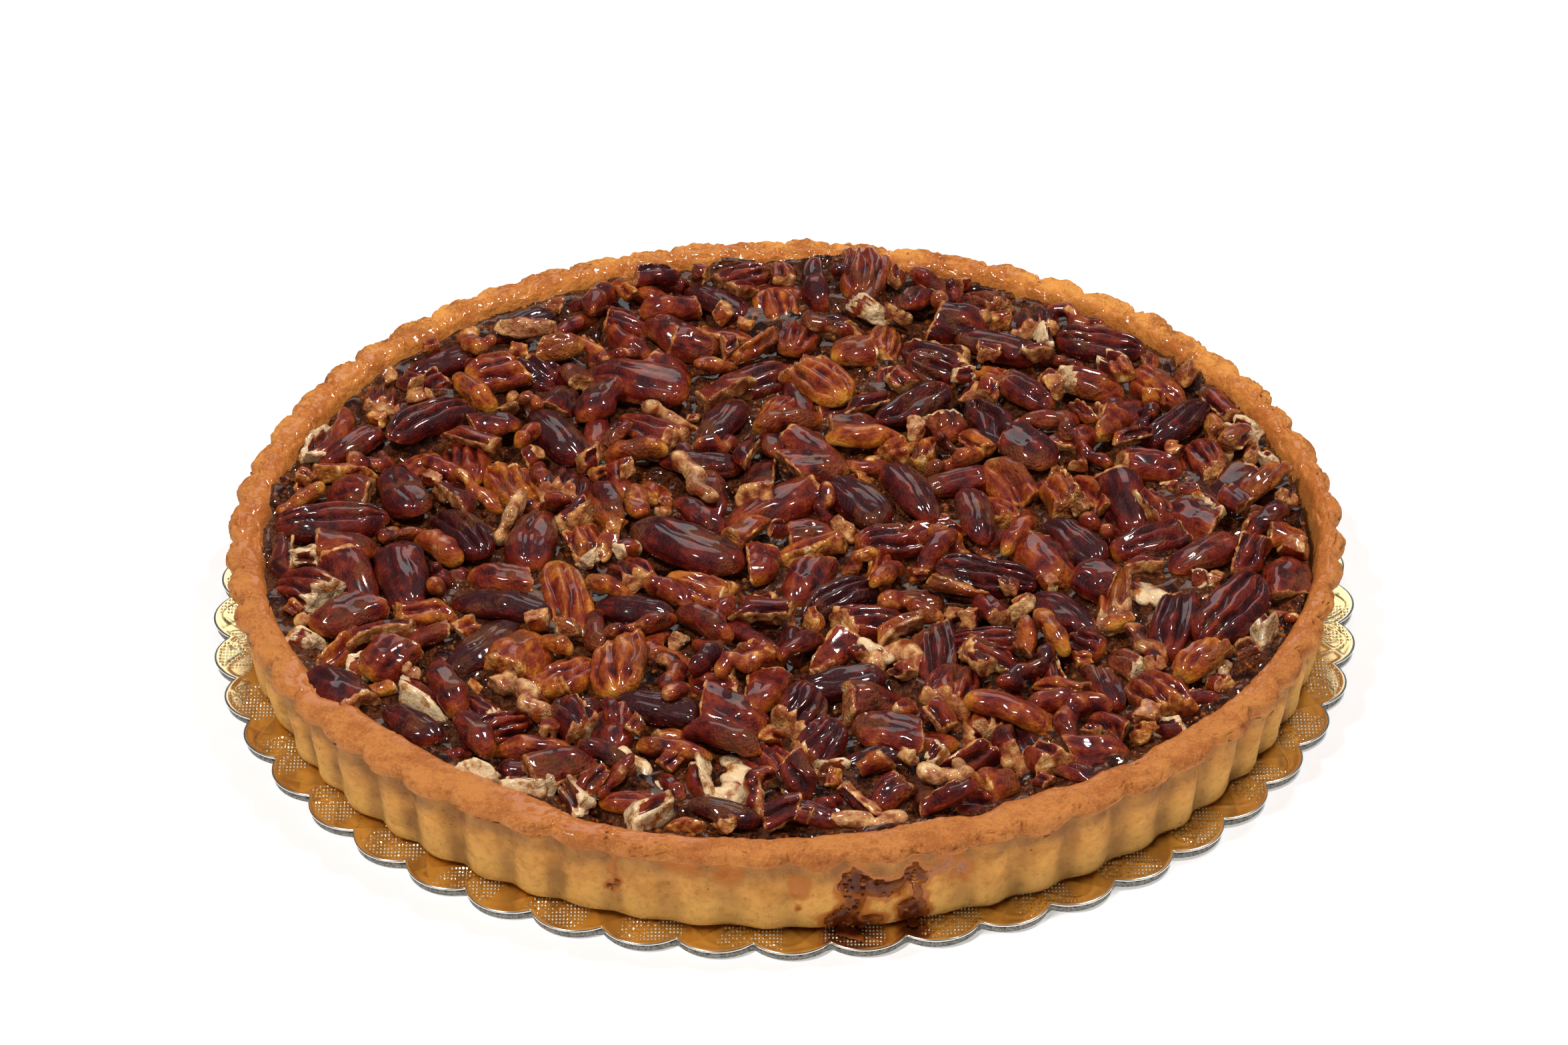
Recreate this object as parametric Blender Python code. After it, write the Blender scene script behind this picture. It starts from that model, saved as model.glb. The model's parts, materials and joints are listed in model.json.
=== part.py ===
"""A whole pecan pie: a fluted shortcrust shell, its caramel and pecan filling, the large pecan halves on top
of it, and the scalloped cake card that it is baked for and sold on.

Metres, +Z up. The origin is the centre of the card's underside, and the pie stands on the card.
"""

import math
import random
from typing import NamedTuple

import bmesh
import bpy
from mathutils import Matrix, Vector
from mathutils.geometry import delaunay_2d_cdt

MM = 0.001
GAP = 0.3 * MM  # the room left between two pieces that touch

# Cake card: round board with a scalloped edge
CARD_THICKNESS = 2.5 * MM
CARD_LOBES = 48
CARD_TIP_RADIUS = 143.8 * MM
CARD_CUSP_RADIUS = 139.6 * MM
CARD_FIRST_CUSP = math.radians(4.2)
CARD_STEPS = 4  # straight pieces that make one lobe's arc

# Pie: where it stands on the card
PIE_BASE = CARD_THICKNESS + GAP
PIE_SHIFT = Vector((0.0, -1.1 * MM, 0.0))  # it isn't quite centred on its card

# Crust: 28 cm fluted shell
CRUST_HEIGHT = 25.2 * MM
CRUST_RADIUS = 140 * MM
FLUTES = 60
FLUTE_DEPTH = 3.4 * MM
FIRST_FLUTE = math.radians(9.2)
FLUTE_FULLNESS = 0.7  # under 1: broad crests and narrow valleys
FLUTE_STEPS = 4
INNER_STEPS = FLUTES * 2
FLOOR_THICKNESS = 4 * MM
WALL_SLANT = 5.8 * MM  # the foot stands this much further in than the lip
FOOT_ROUND = 1.8 * MM
LIP_HEIGHT = 4.6 * MM
LIP_OVERHANG = 1.3 * MM
RIM_ROUND = 2.6 * MM
RIM_WIDTH = 8.3 * MM  # from a flute's crest to the inner edge
RIM_UNEVENNESS = 0.5 * MM
FLUTE_UNEVENNESS = 0.45 * MM
BOWL_TOP_RADIUS = CRUST_RADIUS - RIM_WIDTH - 1.3 * MM  # inside, at the filling's level
BOWL_FLOOR_RADIUS = CRUST_RADIUS - RIM_WIDTH - 3.7 * MM

# Filling: caramel with chopped pecans, lower than the rim
FILLING_LEVEL = 19.9 * MM  # above the pie's base, where a half lies on it
CHOPPED_LOW = 0.4 * MM
CHOPPED_HIGH = 4.6 * MM
CHOPPED_SPACING = 7.4 * MM
FILLING_RIM_POINTS = 96

# Pecan half: three ridges along a domed back, flat underneath
HALF_LEAN = math.radians(16)  # the most that one lies rolled over
HALF_PITCH = math.radians(7)  # the most that one end lies higher
HALF_WIDTH = 0.46  # share of its length
HALF_THICKNESS = 0.25
HALF_RINGS = (-0.78, -0.4, 0.0, 0.4, 0.78)  # stations along half its length
HALF_SECTION = (
    (-0.60, 0.00),
    (-1.00, 0.35),
    (-0.62, 0.84),
    (-0.28, 0.66),
    (0.00, 1.00),
    (0.28, 0.66),
    (0.62, 0.84),
    (1.00, 0.35),
    (0.60, 0.00),
)  # across: share of half the width, share of the thickness


class Half(NamedTuple):
    """One pecan half: its place on the pie, the way its length points, and its length."""

    x_mm: float
    y_mm: float
    turn_deg: float
    length_mm: float


HALVES = (
    # left side
    Half(-113, 7, 8, 29),
    Half(-96, 20, -71, 26),
    Half(-94, -18, -77, 30),
    Half(-80, 2, -56, 25),
    Half(-63, -2, -97, 28),
    Half(-110, 43, 54, 22),
    Half(-91, 53, 43, 28),
    Half(-88, 82, 28, 19),
    # back
    Half(-68, 101, 39, 21),
    Half(-17, 110, -44, 22),
    Half(22, 113, 75, 18),
    Half(56, 88, -22, 24),
    Half(83, 88, -15, 24),
    Half(102, 49, 53, 25),
    # middle
    Half(-58, 46, -59, 26),
    Half(-37, 70, -29, 31),
    Half(-15, 52, -113, 23),
    Half(-21, 33, -11, 22),
    Half(18, 15, -57, 28),
    Half(-25, -7, -38, 34),
    Half(44, 24, 16, 20),
    Half(34, 58, 40, 24),
    Half(54, 49, -70, 25),
    Half(-37, -33, -21, 21),
    Half(13, -28, 39, 23),
    Half(50, -20, -13, 26),
    Half(49, -47, -6, 20),
    Half(73, -4, -59, 24),
    Half(69, -36, -44, 22),
    # right side
    Half(105, -11, 48, 25),
    Half(110, -36, 61, 31),
    # front
    Half(-73, -50, 54, 26),
    Half(-90, -80, -49, 21),
    Half(-31, -74, -19, 23),
    Half(14, -65, 10, 22),
    Half(-15, -117, -27, 19),
    Half(6, -117, -24, 16),
    Half(22, -95, 19, 17),
)


def clear_scene():
    """Take out whatever the file holds."""
    for item in list(bpy.data.objects):
        bpy.data.objects.remove(item, do_unlink=True)


def material(name, color, roughness, metallic=0.0):
    """A plain Principled material."""
    made = bpy.data.materials.new(name)
    made.use_nodes = True
    shader = made.node_tree.nodes["Principled BSDF"]
    shader.inputs["Base Color"].default_value = (*color, 1.0)
    shader.inputs["Roughness"].default_value = roughness
    shader.inputs["Metallic"].default_value = metallic
    return made


def add_object(name, shape, finish, place=Matrix()):
    """Put a bmesh in the scene as one named object, with its faces turned outwards."""
    bmesh.ops.recalc_face_normals(shape, faces=shape.faces)
    mesh = bpy.data.meshes.new(name)
    shape.to_mesh(mesh)
    shape.free()
    mesh.materials.append(finish)
    item = bpy.data.objects.new(name, mesh)
    item.matrix_world = place
    bpy.context.collection.objects.link(item)
    return item


def around(angle, radius, height):
    """The point at a bearing, radius and height about the Z axis."""
    return Vector((radius * math.cos(angle), radius * math.sin(angle), height))


def bridge(shape, lower, upper):
    """Join two closed rings of vertices, which may differ in number, with faces."""
    edges = [
        shape.edges.get((ring[i - 1], ring[i])) or shape.edges.new((ring[i - 1], ring[i]))
        for ring in (lower, upper)
        for i in range(len(ring))
    ]
    bmesh.ops.bridge_loops(shape, edges=edges)


# ---------------------------------------------------------------- cake card


def card_outline():
    """The scalloped edge: between each two cusps, one arc that bulges outwards."""
    half_angle = math.pi / CARD_LOBES
    half_chord = CARD_CUSP_RADIUS * math.sin(half_angle)
    chord_radius = CARD_CUSP_RADIUS * math.cos(half_angle)
    rise = CARD_TIP_RADIUS - chord_radius
    arc_radius = (half_chord**2 + rise**2) / (2 * rise)
    arc_centre = CARD_TIP_RADIUS - arc_radius
    sweep = math.asin(half_chord / arc_radius)
    points = []
    for lobe in range(CARD_LOBES):
        middle = CARD_FIRST_CUSP + (2 * lobe + 1) * half_angle
        for step in range(CARD_STEPS):
            turn = sweep * (2 * step / CARD_STEPS - 1)
            along = arc_centre + arc_radius * math.cos(turn)
            across = arc_radius * math.sin(turn)
            points.append(Matrix.Rotation(middle, 3, "Z") @ Vector((along, across, 0.0)))
    return points


def add_card(finish):
    """The board: its outline, raised to its thickness."""
    shape = bmesh.new()
    face = shape.faces.new([shape.verts.new(point) for point in card_outline()])
    raised = bmesh.ops.extrude_face_region(shape, geom=[face])
    top = [part for part in raised["geom"] if isinstance(part, bmesh.types.BMVert)]
    bmesh.ops.translate(shape, verts=top, vec=(0, 0, CARD_THICKNESS))
    bmesh.ops.triangulate(shape, faces=[face for face in shape.faces if len(face.verts) > 4])
    return add_object("cake_card", shape, finish)


# ---------------------------------------------------------------- crust


def flute(angle):
    """1 on a flute's crest, 0 in the sharp valley between two flutes."""
    return abs(math.cos(FLUTES * (angle - FIRST_FLUTE) / 2)) ** FLUTE_FULLNESS


def flute_pushes():
    """How far each flute's crest stands out or back, one value a flute."""
    rng = random.Random(60)
    return [rng.uniform(-FLUTE_UNEVENNESS, 0) for _ in range(FLUTES)]


def hand_made(angle):
    """The slow unevenness of a shell pressed in by hand, from -1 to 1."""
    return 0.5 * math.sin(3 * angle + 0.7) + 0.3 * math.sin(7 * angle + 2.1) + 0.2 * math.sin(17 * angle)


def outer_profile():
    """Up the wall and over the lip: height, crest radius and share of the flutes' depth."""
    return (
        (0.0, CRUST_RADIUS - WALL_SLANT - FOOT_ROUND / 2, 0.45),
        (FOOT_ROUND, CRUST_RADIUS - WALL_SLANT, 0.6),
        (CRUST_HEIGHT - LIP_HEIGHT, CRUST_RADIUS - LIP_OVERHANG, 0.95),
        (CRUST_HEIGHT - 0.65 * LIP_HEIGHT, CRUST_RADIUS, 1.0),
        (CRUST_HEIGHT - 0.25 * LIP_HEIGHT, CRUST_RADIUS, 1.0),
        (CRUST_HEIGHT, CRUST_RADIUS - RIM_ROUND, 0.5),
    )


def inner_profile():
    """Down from the lip to the floor: height and radius."""
    return (
        (CRUST_HEIGHT - RIM_ROUND / 10, CRUST_RADIUS - 0.8 * RIM_WIDTH),
        (CRUST_HEIGHT - 0.75 * RIM_ROUND, CRUST_RADIUS - RIM_WIDTH),
        (FILLING_LEVEL, BOWL_TOP_RADIUS),
        (FLOOR_THICKNESS, BOWL_FLOOR_RADIUS),
    )


def wall_ring(shape, height, radius, share, pushes):
    """One fluted ring of the wall or the lip."""
    ring = []
    for step in range(FLUTES * FLUTE_STEPS):
        angle = FIRST_FLUTE + step * math.tau / (FLUTES * FLUTE_STEPS)
        push = pushes[round(step / FLUTE_STEPS) % FLUTES] * flute(angle)
        lift = height / CRUST_HEIGHT * (RIM_UNEVENNESS * hand_made(angle) + push)
        valley = share * (FLUTE_DEPTH * (1 - flute(angle)) - push)
        ring.append(shape.verts.new(around(angle, radius - valley, height + lift)))
    return ring


def bowl_ring(shape, height, radius):
    """One smooth ring of the inside."""
    ring = []
    for step in range(INNER_STEPS):
        angle = FIRST_FLUTE + step * math.tau / INNER_STEPS
        lift = RIM_UNEVENNESS * hand_made(angle) if height > FILLING_LEVEL else 0.0
        ring.append(shape.verts.new(around(angle, radius, height + lift)))
    return ring


def pie_place():
    """Where the pie's own base centre stands."""
    return Matrix.Translation(PIE_SHIFT + Vector((0, 0, PIE_BASE)))


def add_crust(finish):
    """The shell: fluted outside, smooth inside, with a flat floor."""
    shape = bmesh.new()
    pushes = flute_pushes()
    rings = [wall_ring(shape, *level, pushes) for level in outer_profile()]
    rings += [bowl_ring(shape, *level) for level in inner_profile()]
    for lower, upper in zip(rings, rings[1:]):
        bridge(shape, lower, upper)
    shape.faces.new(rings[0])
    shape.faces.new(rings[-1])
    bmesh.ops.triangulate(shape, faces=shape.faces)
    return add_object("crust", shape, finish, pie_place())


# ---------------------------------------------------------------- filling


def near_half(point, half):
    """Whether a point lies so near a pecan half that a face of the top there could reach under it."""
    place = half_place(half).inverted() @ Vector((point.x, point.y, FILLING_LEVEL))
    long_reach = half.length_mm * MM / 2 + CHOPPED_SPACING
    wide_reach = half.length_mm * MM * HALF_WIDTH / 2 + CHOPPED_SPACING
    return (place.x / long_reach) ** 2 + (place.y / wide_reach) ** 2 < 1


def filling_points(radius):
    """Points spread evenly over a disc on a sunflower spiral, inside a ring of edge points."""
    edge = [around(i * math.tau / FILLING_RIM_POINTS, radius, 0) for i in range(FILLING_RIM_POINTS)]
    reach = radius - 0.7 * CHOPPED_SPACING
    each = CHOPPED_SPACING**2 * math.sqrt(3) / 2
    count = int(math.pi * reach**2 / each)
    golden = math.pi * (3 - math.sqrt(5))
    inner = [around(i * golden, reach * math.sqrt((i + 0.5) / count), 0) for i in range(count)]
    return edge + inner


def filling_top(shape, points):
    """The uneven top: chopped pieces between the pecan halves, and low ground under each half."""
    rng = random.Random(28)
    top = []
    for index, point in enumerate(points):
        height = FILLING_LEVEL - 1.5 * GAP
        clear = not any(near_half(point, half) for half in HALVES)
        if clear and index >= FILLING_RIM_POINTS:
            height += rng.uniform(CHOPPED_LOW, CHOPPED_HIGH)
        top.append(shape.verts.new((point.x, point.y, height)))
    _, _, triangles, *_ = delaunay_2d_cdt([point.to_2d() for point in points], [], [], 0, 1e-7)
    for triangle in triangles:
        shape.faces.new([top[i] for i in triangle])
    return top[:FILLING_RIM_POINTS]


def add_filling(finish):
    """Caramel and chopped pecans as one solid that fills the shell."""
    inward = math.cos(math.pi / INNER_STEPS)  # a flat side of the bowl lies this much further in
    top_radius = BOWL_TOP_RADIUS * inward - 2 * GAP
    foot_radius = BOWL_FLOOR_RADIUS * inward - 2 * GAP
    shape = bmesh.new()
    edge = filling_top(shape, filling_points(top_radius))
    foot = []
    for step in range(FILLING_RIM_POINTS):
        angle = step * math.tau / FILLING_RIM_POINTS
        foot.append(shape.verts.new(around(angle, foot_radius, FLOOR_THICKNESS + GAP)))
    bridge(shape, edge, foot)
    shape.faces.new(foot)
    bmesh.ops.triangulate(shape, faces=shape.faces)
    return add_object("filling", shape, finish, pie_place())


# ---------------------------------------------------------------- pecan halves


def half_place(half):
    """A half's own frame on the pie: X along its length, flat side on the filling."""
    spot = Vector((half.x_mm * MM, half.y_mm * MM, FILLING_LEVEL))
    return Matrix.Translation(spot) @ Matrix.Rotation(math.radians(half.turn_deg), 4, "Z")


def add_half(name, half, lean, pitch, finish):
    """One pecan half: rings of its ridged section that close in towards two blunt ends."""
    length = half.length_mm * MM
    shape = bmesh.new()
    rings = []
    for station in HALF_RINGS:
        full = math.sqrt(1 - station**2)
        lift = 0.12 * (1 - full) * length * HALF_THICKNESS
        ring = []
        for across, up in HALF_SECTION:
            y = across * full * length * HALF_WIDTH / 2
            z = lift + up * full**0.8 * length * HALF_THICKNESS
            ring.append(shape.verts.new((station * length / 2, y, z)))
        rings.append(ring)
    for lower, upper in zip(rings, rings[1:]):
        bridge(shape, lower, upper)
    for ring, end in ((rings[0], -0.5), (rings[-1], 0.5)):
        tip = shape.verts.new((end * length, 0, 0.3 * length * HALF_THICKNESS))
        for i in range(len(ring)):
            shape.faces.new((ring[i - 1], ring[i], tip))
    bmesh.ops.triangulate(shape, faces=shape.faces)
    shape.transform(Matrix.Rotation(lean, 4, "X") @ Matrix.Rotation(pitch, 4, "Y"))
    lowest = min(vertex.co.z for vertex in shape.verts)
    bmesh.ops.translate(shape, verts=shape.verts, vec=(0, 0, -lowest))
    return add_object(name, shape, finish, pie_place() @ half_place(half))


def main():
    clear_scene()
    add_card(material("gold_card", (0.72, 0.58, 0.33), 0.3, 0.8))
    add_crust(material("baked_crust", (0.62, 0.34, 0.13), 0.7))
    add_filling(material("caramel", (0.13, 0.045, 0.015), 0.25))
    skin = material("pecan_skin", (0.24, 0.06, 0.025), 0.35)
    rng = random.Random(38)
    for number, half in enumerate(HALVES, start=1):
        lean = rng.uniform(-HALF_LEAN, HALF_LEAN)
        pitch = rng.uniform(-HALF_PITCH, HALF_PITCH)
        add_half(f"pecan_{number:02d}", half, lean, pitch, skin)


main()
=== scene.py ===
"""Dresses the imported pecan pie: baked crust, bubbly caramel, glazed pecans and the foil cake card.

Everything is in metres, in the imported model's own frame, with the origin under the middle of the card.
"""

import json
import logging
import math
import random
from contextlib import contextmanager
from dataclasses import dataclass, field
from enum import Enum
from typing import Callable, Iterator, NamedTuple, Sequence

import bmesh
import bpy
import numpy as np
from mathutils import Matrix, Vector, noise

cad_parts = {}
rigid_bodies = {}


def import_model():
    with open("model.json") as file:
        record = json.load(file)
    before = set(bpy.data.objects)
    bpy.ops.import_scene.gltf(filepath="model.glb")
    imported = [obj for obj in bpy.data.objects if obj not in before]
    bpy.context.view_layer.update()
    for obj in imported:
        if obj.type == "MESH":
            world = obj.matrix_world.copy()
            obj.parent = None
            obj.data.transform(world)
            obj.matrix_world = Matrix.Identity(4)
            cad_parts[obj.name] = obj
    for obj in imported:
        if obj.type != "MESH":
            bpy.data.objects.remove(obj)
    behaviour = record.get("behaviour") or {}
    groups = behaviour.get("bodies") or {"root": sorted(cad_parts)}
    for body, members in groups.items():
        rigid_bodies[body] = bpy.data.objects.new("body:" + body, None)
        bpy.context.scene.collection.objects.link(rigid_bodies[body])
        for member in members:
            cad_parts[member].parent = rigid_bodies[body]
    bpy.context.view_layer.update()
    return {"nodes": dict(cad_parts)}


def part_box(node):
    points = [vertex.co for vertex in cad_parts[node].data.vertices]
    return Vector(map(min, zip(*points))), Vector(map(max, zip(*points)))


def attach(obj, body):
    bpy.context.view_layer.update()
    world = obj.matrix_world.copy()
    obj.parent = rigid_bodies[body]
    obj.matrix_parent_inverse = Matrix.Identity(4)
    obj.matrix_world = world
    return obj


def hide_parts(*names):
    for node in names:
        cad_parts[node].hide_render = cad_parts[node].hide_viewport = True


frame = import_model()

MM = 0.001
BODY = "root"
LOG = logging.getLogger("pecan_pie")

Color = tuple[float, float, float]
Stop = tuple[float, Color]


# ================================================================ modelling bench


def deselect() -> None:
    """Deselect every object."""
    for item in bpy.context.selected_objects:
        item.select_set(False)


def make_active(item: bpy.types.Object) -> None:
    """Select one object alone and make it the active one."""
    deselect()
    item.select_set(True)
    bpy.context.view_layer.objects.active = item


def added(operator: Callable, name: str, **settings: object) -> bpy.types.Object:
    """Add a primitive and put its place into its mesh.

    Args:
        operator: One of the primitive operators of bpy.ops.mesh.
        name: The new object's name.
        **settings: The operator's own settings.

    Returns:
        The new object, standing at the origin.
    """
    deselect()
    operator(**settings)
    item = bpy.context.object
    item.name = name
    bpy.ops.object.transform_apply(location=True, rotation=True, scale=True)
    return item


@contextmanager
def editing(item: bpy.types.Object) -> Iterator[None]:
    """Edit one object's mesh, with nothing selected at the start."""
    make_active(item)
    bpy.ops.object.mode_set(mode="EDIT")
    bpy.ops.mesh.select_all(action="DESELECT")
    yield
    bpy.ops.object.mode_set(mode="OBJECT")


def select_where(item: bpy.types.Object, test: Callable[[Vector], bool]) -> int:
    """In edit mode, select the vertices whose place passes a test.

    Returns:
        How many are selected.
    """
    shape = bmesh.from_edit_mesh(item.data)
    for vertex in shape.verts:
        vertex.select = test(vertex.co)
    shape.select_flush_mode()
    bmesh.update_edit_mesh(item.data)
    return sum(vertex.select for vertex in shape.verts)


def apply_modifier(item: bpy.types.Object, kind: str, **settings: object) -> None:
    """Add a modifier with its settings and apply it."""
    make_active(item)
    modifier = item.modifiers.new(kind.title(), kind)
    for name, value in settings.items():
        setattr(modifier, name, value)
    bpy.ops.object.modifier_apply(modifier=modifier.name)


def lumps(kind: str, size: float, **settings: object) -> bpy.types.Texture:
    """A procedural texture for a Displace modifier, with lumps of about the given size."""
    texture = bpy.data.textures.new(kind.lower(), kind)
    texture.noise_scale = size
    for name, value in settings.items():
        setattr(texture, name, value)
    return texture


def places(item: bpy.types.Object) -> np.ndarray:
    """An object's vertices as rows of x, y, z."""
    flat = np.empty(len(item.data.vertices) * 3)
    item.data.vertices.foreach_get("co", flat)
    return flat.reshape(-1, 3)


def set_places(item: bpy.types.Object, rows: np.ndarray) -> None:
    """Move an object's vertices to these rows of x, y, z."""
    item.data.vertices.foreach_set("co", np.ascontiguousarray(rows, float).ravel())
    item.data.update()


def set_values(item: bpy.types.Object, name: str, values: np.ndarray) -> None:
    """Store one number for each vertex as a named attribute."""
    layer = item.data.attributes.new(name, "FLOAT", "POINT")
    layer.data.foreach_set("value", np.ascontiguousarray(values, np.float32))


def set_vectors(item: bpy.types.Object, name: str, rows: np.ndarray) -> None:
    """Store one vector for each vertex as a named attribute."""
    layer = item.data.attributes.new(name, "FLOAT_VECTOR", "POINT")
    layer.data.foreach_set("vector", np.ascontiguousarray(rows, np.float32).ravel())


def smooth_step(low: float, high: float, value: np.ndarray) -> np.ndarray:
    """0 below low, 1 above high, and a soft S between them."""
    share = np.clip((value - low) / (high - low), 0.0, 1.0)
    return share * share * (3 - 2 * share)


def rumble(rows: np.ndarray, size: float, seed: int = 0) -> np.ndarray:
    """Soft noise from about -1 to 1 at each row, with features of the given size."""
    shift = Vector((seed * 7.31, seed * 3.17, seed * 5.73))
    return np.array([noise.noise(Vector(row) / size + shift) for row in rows])


def finished(item: bpy.types.Object, slot: str, finish: bpy.types.Material, *stands_for: str) -> None:
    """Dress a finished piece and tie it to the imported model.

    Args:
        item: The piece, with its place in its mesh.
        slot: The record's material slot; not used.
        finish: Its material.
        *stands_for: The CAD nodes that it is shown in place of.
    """
    if finish.name not in item.data.materials:
        item.data.materials.append(finish)
    item.data.shade_smooth()
    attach(item, BODY)
    if stands_for:
        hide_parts(*stands_for)
    LOG.info("%s: %d faces", item.name, len(item.data.polygons))


# ================================================================ shader graphs


class Graph:
    """A node tree with short ways to add what the finishes use."""

    def __init__(self, tree: bpy.types.NodeTree) -> None:
        """Work on one node tree."""
        self.tree = tree

    def add(self, kind: str, inputs: dict | None = None, **settings: object) -> bpy.types.Node:
        """Add a node.

        Args:
            kind: The node's type without its "ShaderNode" front.
            inputs: Values, or sockets to link, by input name or number.
            **settings: The node's own properties.

        Returns:
            The new node.
        """
        node = self.tree.nodes.new("ShaderNode" + kind)
        for name, value in settings.items():
            setattr(node, name, value)
        for key, value in (inputs or {}).items():
            if isinstance(value, bpy.types.NodeSocket):
                self.tree.links.new(value, node.inputs[key])
            else:
                node.inputs[key].default_value = value
        return node

    def noise(self, vector: bpy.types.NodeSocket, size: float, detail: float = 4.0, rough: float = 0.5):
        """Noise with features of about the given size in metres, from 0 to 1."""
        inputs = {"Vector": vector, "Scale": 1 / size, "Detail": detail, "Roughness": rough}
        return self.add("TexNoise", inputs).outputs["Fac"]

    def cells(self, vector: bpy.types.NodeSocket, size: float, feature: str = "F1"):
        """Distance pattern of cells of about the given size in metres."""
        inputs = {"Vector": vector, "Scale": 1 / size}
        return self.add("TexVoronoi", inputs, feature=feature).outputs["Distance"]

    def math(self, operation: str, first: object, second: object = 0.0, clamp: bool = False):
        """One sum of two numbers or sockets."""
        return self.add("Math", {0: first, 1: second}, operation=operation, use_clamp=clamp).outputs[0]

    def ramp(self, value: bpy.types.NodeSocket, stops: Sequence[Stop], smooth: bool = False):
        """A colour ramp through these stops."""
        node = self.add("ValToRGB", {"Fac": value})
        node.color_ramp.interpolation = "EASE" if smooth else "LINEAR"
        elements = node.color_ramp.elements
        while len(elements) < len(stops):
            elements.new(0.5)
        for element, (place, color) in zip(elements, stops):
            element.position = place
            element.color = (*color, 1.0)
        return node.outputs["Color"]

    def step(self, value: bpy.types.NodeSocket, low: float, high: float):
        """A soft step from 0 at low to 1 at high."""
        inputs = {"Value": value, "From Min": low, "From Max": high}
        return self.add("MapRange", inputs, interpolation_type="SMOOTHSTEP").outputs["Result"]

    def mix(self, share: object, first: object, second: object, blend: str = "MIX"):
        """One colour mixed into another, plain or by another blend."""
        node = self.add("Mix", {0: share}, data_type="RGBA", blend_type=blend)
        for key, value in ((6, first), (7, second)):
            if isinstance(value, bpy.types.NodeSocket):
                self.tree.links.new(value, node.inputs[key])
            else:
                node.inputs[key].default_value = (*value, 1.0)
        return node.outputs[2]

    def value(self, name: str) -> bpy.types.NodeSocket:
        """A number that the mesh keeps for each vertex."""
        return self.add("Attribute", attribute_name=name).outputs["Fac"]

    def vector(self, name: str) -> bpy.types.NodeSocket:
        """A vector that the mesh keeps for each vertex."""
        return self.add("Attribute", attribute_name=name).outputs["Vector"]

    def place(self) -> bpy.types.NodeSocket:
        """The point's place on the object."""
        return self.add("TexCoord").outputs["Object"]

    def group(self, tree: bpy.types.NodeTree, inputs: dict) -> bpy.types.Node:
        """Place a shared node group."""
        node = self.tree.nodes.new("ShaderNodeGroup")
        node.node_tree = tree
        for key, value in inputs.items():
            if isinstance(value, bpy.types.NodeSocket):
                self.tree.links.new(value, node.inputs[key])
            else:
                node.inputs[key].default_value = value
        return node

    def bump(self, height: bpy.types.NodeSocket, distance: float, strength: float = 1.0):
        """A bumped normal from a height."""
        inputs = {"Height": height, "Distance": distance, "Strength": strength}
        return self.add("Bump", inputs).outputs["Normal"]


def shared_group(name: str, inputs: Sequence[tuple[str, str, object]], outputs: Sequence[tuple[str, str]]):
    """Start a shared node group.

    Args:
        name: The group's name.
        inputs: Each input's name, socket type and first value.
        outputs: Each output's name and socket type.

    Returns:
        The group's graph, its input node and its output node.
    """
    tree = bpy.data.node_groups.new(name, "ShaderNodeTree")
    for label, kind, value in inputs:
        socket = tree.interface.new_socket(label, in_out="INPUT", socket_type=kind)
        if value is not None:
            socket.default_value = value
    for label, kind in outputs:
        tree.interface.new_socket(label, in_out="OUTPUT", socket_type=kind)
    return Graph(tree), tree.nodes.new("NodeGroupInput"), tree.nodes.new("NodeGroupOutput")


def mottle_group() -> bpy.types.NodeTree:
    """Cloudy variation in two sizes, as baking and drying leave on food."""
    graph, given, made = shared_group(
        "Mottle",
        (
            ("Vector", "NodeSocketVector", None),
            ("Large", "NodeSocketFloat", 12 * MM),
            ("Fine", "NodeSocketFloat", 2 * MM),
        ),
        (("Large", "NodeSocketFloat"), ("Fine", "NodeSocketFloat")),
    )
    for label, detail in (("Large", 3.0), ("Fine", 6.0)):
        scale = graph.math("DIVIDE", 1.0, given.outputs[label])
        inputs = {"Vector": given.outputs["Vector"], "Scale": scale, "Detail": detail, "Roughness": 0.6}
        graph.tree.links.new(graph.add("TexNoise", inputs).outputs["Fac"], made.inputs[label])
    return graph.tree


def froth_group() -> bpy.types.NodeTree:
    """Popped and whole bubbles in set caramel: a height and a mask of the open pores."""
    graph, given, made = shared_group(
        "Froth",
        (("Vector", "NodeSocketVector", None), ("Size", "NodeSocketFloat", 1.4 * MM)),
        (("Height", "NodeSocketFloat"), ("Pores", "NodeSocketFloat")),
    )
    scale = graph.math("DIVIDE", 1.0, given.outputs["Size"])
    wobble = graph.add("TexNoise", {"Vector": given.outputs["Vector"], "Scale": scale, "Detail": 3.0})
    large = graph.add("TexVoronoi", {"Vector": given.outputs["Vector"], "Scale": scale})
    twice = graph.math("MULTIPLY", scale, 2.3)
    small = graph.add("TexVoronoi", {"Vector": given.outputs["Vector"], "Scale": twice})
    domes = graph.math("ADD", large.outputs["Distance"], graph.math("MULTIPLY", small.outputs["Distance"], 0.5))
    height = graph.math("ADD", domes, graph.math("MULTIPLY", wobble.outputs["Fac"], 0.8))
    graph.tree.links.new(height, made.inputs["Height"])
    pores = graph.step(small.outputs["Distance"], 0.32, 0.12)
    graph.tree.links.new(pores, made.inputs["Pores"])
    return graph.tree


@dataclass(frozen=True)
class SharedGroups:
    """The node groups that several finishes use."""

    mottle: bpy.types.NodeTree = field(default_factory=mottle_group)
    froth: bpy.types.NodeTree = field(default_factory=froth_group)


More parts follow.
